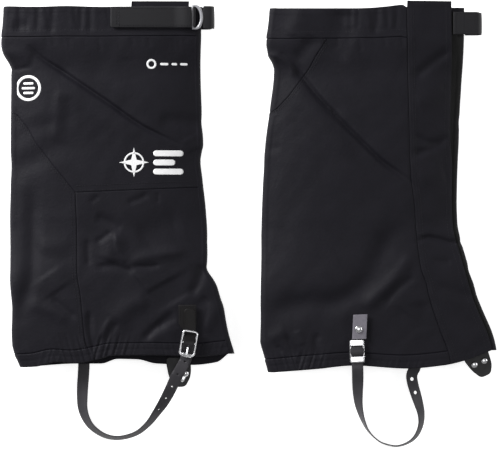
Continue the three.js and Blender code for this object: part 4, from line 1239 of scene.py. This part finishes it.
def ring_webbing(tube, bar_point):
    spec = tube.spec
    name = spec["name"]
    out = 1 if spec["lateral_up"] else -1
    share = (spec["ring_y"] - FRONT_HEM) / (spec["top"] - FRONT_HEM)
    back = float(tube.level(not spec["lateral_up"], 1.0, share)) - out * (GAP + WEBBING / 2)
    front = float(tube.front(share))
    centre, radius = (bar_point[2] + back) / 2, abs(bar_point[2] - back) / 2
    y = bar_point[1]
    fold_at = spec["fold_x"] - 6
    path = [(spec["ring_x"] + 11.6, y, bar_point[2]), (fold_at - 2, y, bar_point[2])]
    for a in np.radians(np.linspace(75, -75, 16)):
        path.append((fold_at + 6 * math.cos(a), y, centre + out * radius * math.sin(a)))
    path += [(fold_at - 3, y, back), (front - 12.9, y, back)]
    path = curve(path, 3)
    middle = 0.47 * lengths(path)[-1]
    piece = ribbon(f"{name}_ring_tape", path, ALONG_Y, WEBBING_WIDTH + 1.6, WEBBING,
                   WEB_ALONG_Y, step=0.9,
                   width_at=lambda a: 1 - 0.1 * np.exp(-((a - middle) / 4) ** 2))
    fit(piece, f"{name}_shell", "cinch_webbing", [f"{name}_ring_webbing"])
    normal = -out * UP
    level = back - out * WEBBING / 2
    half = (WEBBING_WIDTH + 1.6) / 2 - 1.8
    corners = [((front - 12, y + k * half), (fold_at - 4, y + k * half)) for k in (-1, 1)]
    corners += [((x, y - half), (x, y + half)) for x in (front - 10.5, front - 1.5)]
    rows = [(np.linspace((*a, level), (*b, level), 24), normal) for a, b in corners]
    sew(f"{name}_ring_tape_stitches", f"{name}_shell", "cinch_webbing", None, rows)


# ---- buckle, strap and anchor ----
def rounded_loop(width, length, corner, z):
    path = []
    for sx, sy, start in ((1, 1, 0), (-1, 1, 90), (-1, -1, 180), (1, -1, 270)):
        for a in np.radians(np.linspace(start, start + 90, 9)):
            path.append((sx * (width / 2 - corner) + corner * math.cos(a),
                         sy * (length / 2 - corner) + corner * math.sin(a), z))
    dense = []
    for a, b in zip(path, path[1:] + path[:1]):
        count = max(1, int(math.dist(a, b) / 2))
        for k in range(count):
            dense.append(lerp(np.array(a), np.array(b), k / count))
    return np.array(dense)


def on_bar(profile, sides, y):
    """A turned piece about a bar of the buckle."""
    points, faces = lathe(profile, sides)
    return points[:, [2, 1, 0]] * [1, 1, -1] + [0, y, BAR_LEVEL], faces


def buckle(tube, mount):
    name = tube.spec["name"]
    loop = rounded_loop(BUCKLE_WIDTH, BUCKLE_LENGTH, 2.8, BAR_LEVEL)
    thick = WIRE * (1 + 0.18 * ramp(loop[:, 0], 0, -BUCKLE_WIDTH / 2))
    frame_solid = sweep(loop, UP, thick, 16, True)
    piece = mount.make(f"{name}_buckle_loop", frame_solid, STEEL)
    fit(piece, f"{name}_buckle", "bright_steel", [f"{name}_buckle_frame"])
    xs = np.linspace(-BUCKLE_WIDTH / 2, BUCKLE_WIDTH / 2, 6)
    solid = sweep([(x, 0, BAR_LEVEL) for x in xs], UP, BAR_WIRE, 16)
    fit(mount.make(f"{name}_buckle_bar", solid, STEEL), f"{name}_buckle", "bright_steel")
    inner, half = WIRE + 0.22, BUCKLE_WIDTH / 2 - 2.6
    profile = [(inner, -half), (inner + 0.5, -half - 0.1), (inner + 0.85, -half + 0.3),
               (inner + 0.95, 0), (inner + 0.85, half - 0.3), (inner + 0.5, half + 0.1),
               (inner, half), (inner, -half)]
    tube_solid = on_bar(profile, 28, -BUCKLE_LENGTH / 2)
    piece = mount.make(f"{name}_buckle_roller_tube", tube_solid, STEEL)
    fit(piece, f"{name}_roller", "bright_steel", [f"{name}_buckle_roller"])
    eye = on_bar([(1.25, -1.3), (2.1, -1.3), (2.3, -0.9), (2.3, 0.9), (2.1, 1.3), (1.25, 1.3),
                  (1.25, -1.3)], 24, 0)
    top = BAR_LEVEL + WIRE + GAP + 0.8 + GAP + 0.9
    path = curve(yz([(-1.9, BAR_LEVEL + 0.9), (-5, BAR_LEVEL + 1.6), (-8, top - 1.1),
                     (-11, top - 0.1), (-13.2, top + 0.1), (-15.4, top - 0.3)]), 6)
    width = np.interp(np.arange(len(path)), [0, len(path) - 7, len(path) - 1], [1.15, 1.0, 0.55])
    shaft = sweep(path, np.array([1.0, 0, 0]), width, 14)
    piece = mount.make(f"{name}_buckle_tongue", joined([eye, shaft]), STEEL)
    fit(piece, f"{name}_prong", "bright_steel", [f"{name}_buckle_prong"])
    chape(tube, mount)


def chape(tube, mount):
    name = tube.spec["name"]
    path = [(41, 0.75), (30, 0.85), (20, 0.9), (10, 0.9), (5, 1.4)]
    reach = BAR_WIRE + GAP + CHAPE / 2
    path += [(reach * math.cos(math.radians(a)), BAR_LEVEL + reach * math.sin(math.radians(a)))
             for a in np.linspace(-70, -290, 12)]
    path += [(4.2, 5.0)]
    path = yz(path, LEAN)
    path[:5, 0] -= 2.6 * ramp(path[:5, 1], 12, 20)
    across = np.array(leaning_width(mount, path[:, 1]))
    path, across = curve(mount.out(path), 4), curve(across, 4)
    piece = ribbon(f"{name}_chape_band", path, across, CHAPE_WIDTH, CHAPE, CHAPE_LOOK,
                   holes=[(42.2, 4.2, 2.3)], width_at=lambda a: 1 - 0.36 * ramp(a, 20, 31))
    fit(piece, f"{name}_shell", "strap_plastic", [f"{name}_buckle_chape"])
    rows = []
    normal = mount.direction(UP)
    half, end, count = 8.1, 39.5, 20
    for x in (-half, half):
        y = np.linspace(end, 24, count)
        leaned = x - 2.6 - LEAN * (y - LEAN_FROM)
        line = np.stack([leaned, y + LEAN * x, np.full(count, 1.4)], 1)
        rows.append((mount.out(line), normal))
    x = np.linspace(-half, half, count)
    line = np.stack([x - 8.5, end + LEAN * x, np.full(count, 1.35)], 1)
    rows.append((mount.out(line), normal))
    sew(f"{name}_chape_stitches", f"{name}_shell", "strap_plastic", None, rows, pitch=2.4,
        length=1.7)


def strap(tube, mount, anchor):
    """One strap from its tip, through the buckle, under the foot and to the anchor."""
    spec = tube.spec
    name = spec["name"]
    tip = [(38.2, 2.35), (31, 2.35), (24, 2.35), (17, 2.35), (13, 2.45), (10, 2.7), (7, 4.4),
           (3.6, 7.6), (1.2, 8.5), (-1.2, 8.5), (-3.4, 7.6), (-6.6, 4.9), (-10.4, 1.8),
           (-13, 1.15), (spec["tip_end"], 1.2)]
    over_bar = [(-7.4, 1.1), (-5.6, 1.5), (-3.2, 4.6), (0, 5.3), (3.2, 4.6), (5.6, 1.5),
                (7.4, 1.1)]
    hold = [(spec["hold_end"], 1.15), (-16, 1.1)] + [(y + SLIDE_Y, z) for y, z in over_bar]
    hold += [(16, 1.1), (30, 1.1)]
    hold = yz(hold)
    hold[:, 0] = 3 * ramp(hold[:, 1], 2, 15)
    first, last = mount.out(yz(tip, LEAN)), anchor.out(hold)
    middle = np.array(spec["strap"], float)
    flat = np.gradient(middle, axis=0)
    flat[:, 2] = 0
    side = np.cross(unit(flat), UP)
    twist = np.radians(spec["twist"])[:, None]
    side = side * np.cos(twist) + UP * np.sin(twist)
    turned = 1 if np.dot(mount.direction((1, 0, 0)), side[0]) > 0 else -1
    upright = turned * np.array(leaning_width(mount, [y for y, _ in tip]))
    held = anchor.direction((1, 0, 0))
    if np.dot(held, side[-1]) < 0:
        held = -held
    sides = np.vstack([upright, side, np.tile(held, (len(last), 1))])
    path = np.vstack([first, middle, last])
    dense, dense_side = curve(path, 6), unit(curve(sides, 6))
    step = lengths(dense)

    def step_near(point):
        return step[np.linalg.norm(dense - point, axis=1).argmin()]

    through = step_near(mount.out(yz([(-4.9, 6.3)])))
    bar_at = step_near(anchor.out(yz([(SLIDE_Y, 5.2)])))
    radius, pitch, first_y, count = spec["holes"]
    ahead = (step > through + 4) & (step < step[-1] / 2)
    near = step[ahead][np.abs(dense[ahead][:, 1] - first_y).argmin()]
    holes = [(through, 3.2, 1.5)] + [(near + k * pitch, radius, radius) for k in range(count)]

    def width_share(x):
        rounded = np.sqrt(np.clip(1 - (1 - np.clip(x / 5.5, 0, 1)) ** 2.4, 0.04, 1))
        return rounded * (1 + 0.2 * (1 - ramp(np.abs(x - bar_at), 2.4, 4.2)))

    piece = ribbon(f"{name}_foot_strap", dense, dense_side, STRAP_WIDTH, STRAP - 0.1,
                   STRAP_LOOK, holes=holes, step=1.3, crown=0.5, width_at=width_share)
    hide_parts(f"{name}_strap_tip", f"{name}_instep_strap", f"{name}_strap_hold")
    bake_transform(piece)


def plate_net(width, length, holes, corner):
    """A flat plate with round corners and rectangular holes (x0, x1, y0, y1)."""
    xs = sorted({-width / 2, width / 2, *[v for h in holes for v in h[:2]],
                 *np.linspace(-width / 2, width / 2, 13)})
    ys = sorted({-length / 2, length / 2, *[v for h in holes for v in h[2:]],
                 *np.linspace(-length / 2, length / 2, 19)})
    a, b = np.meshgrid(xs, ys, indexing="ij")
    points = np.stack([a.ravel(), b.ravel()], 1)
    quads = grid(len(xs), len(ys))
    centre = points[quads].mean(1)
    keep = np.ones(len(quads), bool)
    for x0, x1, y0, y1 in holes:
        keep &= ~((centre[:, 0] > x0) & (centre[:, 0] < x1) & (centre[:, 1] > y0)
                  & (centre[:, 1] < y1))
    used, quads = np.unique(quads[keep], return_inverse=True)
    points = points[used]
    over = np.abs(points) - [width / 2 - corner, length / 2 - corner]
    both = (over > 0).all(1)
    size = np.maximum(over.max(1), 1e-9)
    reach = np.linalg.norm(over, axis=1)
    shrink = np.where(both, size / np.maximum(reach, 1e-9), 1)[:, None]
    points = np.where(both[:, None], np.sign(points) * ([width / 2 - corner, length / 2 - corner]
                                                        + over * shrink), points)
    return points, quads.reshape(-1, 4)


def plate(mount, name, outer, inner, quads, material, edge):
    points, faces, _ = shell(outer, inner, quads)
    return bevel(mount.make(name, (points, faces.tolist()), material), edge)


def anchor_fittings(tube, mount):
    name = tube.spec["name"]
    width, length, bar_height, side = 16.0, 24.4, 6.2, 1.5
    gap = (length / 2 - bar_height - 1) / 2
    holes = [(-width / 2 + side, width / 2 - side, y - gap, y + gap) for y in (-1 - gap, 1 + gap)]
    net, quads = plate_net(width, length, holes, 1.6)
    arch = 0.35 * (1 - (net[:, 0] / (width / 2)) ** 2)
    net = net + [0, SLIDE_Y]
    outer = np.column_stack([net, 3.5 + arch])
    inner = np.column_stack([net, 2.4 + arch])
    piece = plate(mount, f"{name}_slide_plate", outer, inner, quads, STEEL, 0.32)
    fit(piece, f"{name}_shell", "bright_steel", [f"{name}_anchor_slide"])
    net, quads = strip_net(27.0, np.linspace(-7.7, 7.7, 9), [(11.0, 1.9, 1.9)])
    lean = 2.2 * net[:, 0] / 27
    outer = np.column_stack([net[:, 1] + lean + 2.8, net[:, 0] + 8.4, np.full(len(net), 3.9)])
    inner = outer - 1.8 * UP
    piece = plate(mount, f"{name}_leather_tab", outer, inner, quads, LEATHER, 0.4)
    fit(piece, f"{name}_shell", "grey_leather", [f"{name}_anchor_tab"])
    profile = [(0, 0.5), (1.6, 0.5), (1.6, 4.0), (3.9, 4.0), (4.15, 4.25), (4.1, 4.7), (3.4, 5.4),
               (2.5, 5.75), (1.6, 5.95), (0.8, 6.05), (0, 6.08)]
    points, faces = lathe(profile)
    piece = mount.make(f"{name}_tab_rivet", (points + [2.5, 19.4, 0], faces), STEEL)
    fit(piece, f"{name}_shell", "bright_steel", [f"{name}_anchor_rivet"])


# ---- lace hook ----
def outline_net(edge, centre, rings=6):
    """Quads from a closed outline in to a small ring round its centre."""
    n = len(edge)
    shares = np.linspace(1, 0.06, rings)
    points = np.vstack([centre + (edge - centre) * k for k in shares] + [[centre]])
    quads = [[k * n + i, k * n + (i + 1) % n, (k + 1) * n + (i + 1) % n, (k + 1) * n + i]
             for k in range(rings - 1) for i in range(n)]
    last = (rings - 1) * n
    fan = [[last + i, last + (i + 1) % n, len(points) - 1] for i in range(n)]
    return points, quads, fan


def button(name, profile, place, out):
    """A turned piece on a face that looks up, out = 1, or down, out = -1."""
    points, faces = lathe(profile)
    return make(name, *outward(points * [1, 1, out] + place, faces), STEEL)


def lace_hook(tube):
    spec = tube.spec
    name = spec["name"]
    body = f"{name}_lace_tab"
    level = spec["tab_level"]
    corners = np.array(spec["tab"], float)
    soft = []
    for a, b, c in zip(np.roll(corners, 1, 0), corners, np.roll(corners, -1, 0)):
        reach = min(4.0, 0.4 * np.linalg.norm(a - b), 0.4 * np.linalg.norm(c - b))
        p, q = b + unit(a - b) * reach, b + unit(c - b) * reach
        soft += [lerp(lerp(p, b, t), lerp(b, q, t), t) for t in np.linspace(0, 1, 7)]
    outline = np.array(soft)
    points, quads, fan = outline_net(outline, corners.mean(0))
    top, low = (np.column_stack([points, np.full(len(points), level + half)])
                for half in (TAB_HALF, -TAB_HALF))
    n, m = len(points), len(outline)
    faces = [list(q) for q in quads + fan]
    faces += [[i + n for i in q[::-1]] for q in quads + fan]
    faces += [[(i + 1) % m, i, i + n, (i + 1) % m + n] for i in range(m)]
    solid = outward(np.vstack([top, low]), faces)
    piece = bevel(make(f"{name}_hook_tab", *solid, RUBBER), 0.35)
    for polygon in piece.data.polygons:
        polygon.use_smooth = False
    fit(piece, body, "tab_rubber", [f"{name}_lace_tab"])
    x, y, out, ax, ay = spec["hook"]
    face = level + out * (TAB_HALF + GAP)
    aim = unit([ax, ay, 0.0])
    run = [(-3.4, 0.5), (0, 0.5), (4, 0.5), (7, 0.5), (8.6, 0.9), (9.4, 1.8), (9.4, 2.9),
           (8.5, 3.8), (6.6, 4.1)]
    path = curve([np.array([x, y, face + out * lift]) + aim * along for along, lift in run], 4)
    hook = ribbon(f"{name}_hook_plate", path, np.cross(aim, UP), 5.4, 0.9, STEEL, step=0.8,
                  width_at=lambda a: 1 - 0.32 * ramp(a, 8, 19))
    fit(hook, body, "bright_steel", [f"{name}_lace_hook"])
    dome = [(0, 0), (3.5, 0), (3.65, 0.25), (3.5, 0.8), (2.6, 1.5), (1.4, 1.95), (0, 2.1)]
    piece = button(f"{name}_hook_dome", dome, (x, y, face + out * (1.0 + GAP)), out)
    fit(piece, body, "bright_steel", [f"{name}_lace_dome"])
    head = [(0, 0), (3.3, 0), (3.5, 0.2), (3.2, 0.7), (2.2, 1.15), (0, 1.4)]
    back = level - out * (TAB_HALF + 0.02)
    for number, (rx, ry) in enumerate(spec["rivets"], 1):
        piece = button(f"{name}_tab_rivet_{number}", head, (rx, ry, back), -out)
        fit(piece, body, "bright_steel", [f"{name}_lace_rivet"] if number == 1 else ())


# ---- scene ----
def gaiter(spec):
    tube = Tube(spec)
    up = spec["lateral_up"]
    buckle_mount = Mount(tube, spec["buckle"], True)
    anchor_mount = Mount(tube, spec["anchor"], False)
    upper = buckle_mount if up else anchor_mount
    tube.calm.append((upper.out([(0, -18, 0), (0, 34, 0)])[:, :2], 9))
    if up:
        tube.calm.append(([(spec["ring_x"] - 90, spec["ring_y"]), (spec["ring_x"] + 8,
                          spec["ring_y"])], 11.5))
    cloth(tube)
    flap(tube)
    seams(tube)
    cinch(tube)
    buckle(tube, buckle_mount)
    strap(tube, buckle_mount, anchor_mount)
    anchor_fittings(tube, anchor_mount)
    lace_hook(tube)
    return tube


def studio():
    scene = bpy.context.scene
    low, high = (np.array(v) for v in CAD_BOX)
    centre = (low + high) / 2
    camera = bpy.data.cameras.new("camera")
    camera.lens, camera.sensor_width = 200, 36
    holder = bpy.data.objects.new("camera", camera)
    scene.collection.objects.link(holder)
    height = 0.015 + VIEW_WIDTH * camera.lens / camera.sensor_width
    holder.location = (0.0011, -0.0006, height)
    camera.clip_end = 100
    scene.camera = holder
    floor_mesh = bpy.data.meshes.new("floor")
    reach = 6.0
    floor_mesh.from_pydata([(-reach, -reach, 0), (reach, -reach, 0), (reach, reach, 0),
                            (-reach, reach, 0)], [], [(0, 1, 2, 3)])
    floor = bpy.data.objects.new("floor", floor_mesh)
    floor.location = (0, 0, -0.0006)
    scene.collection.objects.link(floor)
    look = bpy.data.materials.new("floor")
    look.use_nodes = True
    shader = look.node_tree.nodes["Principled BSDF"]
    for socket, value in (("Base Color", (0.9, 0.9, 0.9, 1)), ("Roughness", 0.9),
                          ("Specular IOR Level", 0.1), ("Emission Color", (1, 1, 1, 1)),
                          ("Emission Strength", 0.7)):
        shader.inputs[socket].default_value = value
    floor_mesh.materials.append(look)
    world = bpy.data.worlds.new("studio")
    world.use_nodes = True
    background = world.node_tree.nodes["Background"].inputs
    background["Color"].default_value, background["Strength"].default_value = (1, 1, 1, 1), 0.3
    scene.world = world
    for name, place, size, power in (("key", (-1.6, 1.2, 0.88), 0.9, 78.0),
                                     ("top", (0.1, 0.05, 2.4), 0.9, 7.0),
                                     ("side", (1.9, 0.2, 0.9), 0.9, 13.0)):
        light = bpy.data.lights.new(name, "AREA")
        light.size, light.energy = size, power
        lamp = bpy.data.objects.new(name, light)
        lamp.location = place
        aim = Vector(centre) - Vector(place)
        lamp.rotation_euler = aim.to_track_quat("-Z", "Y").to_euler()
        scene.collection.objects.link(lamp)
    scene.view_settings.view_transform = "Standard"


right = gaiter(RIGHT)
gaiter(LEFT)
prints(right)
studio()
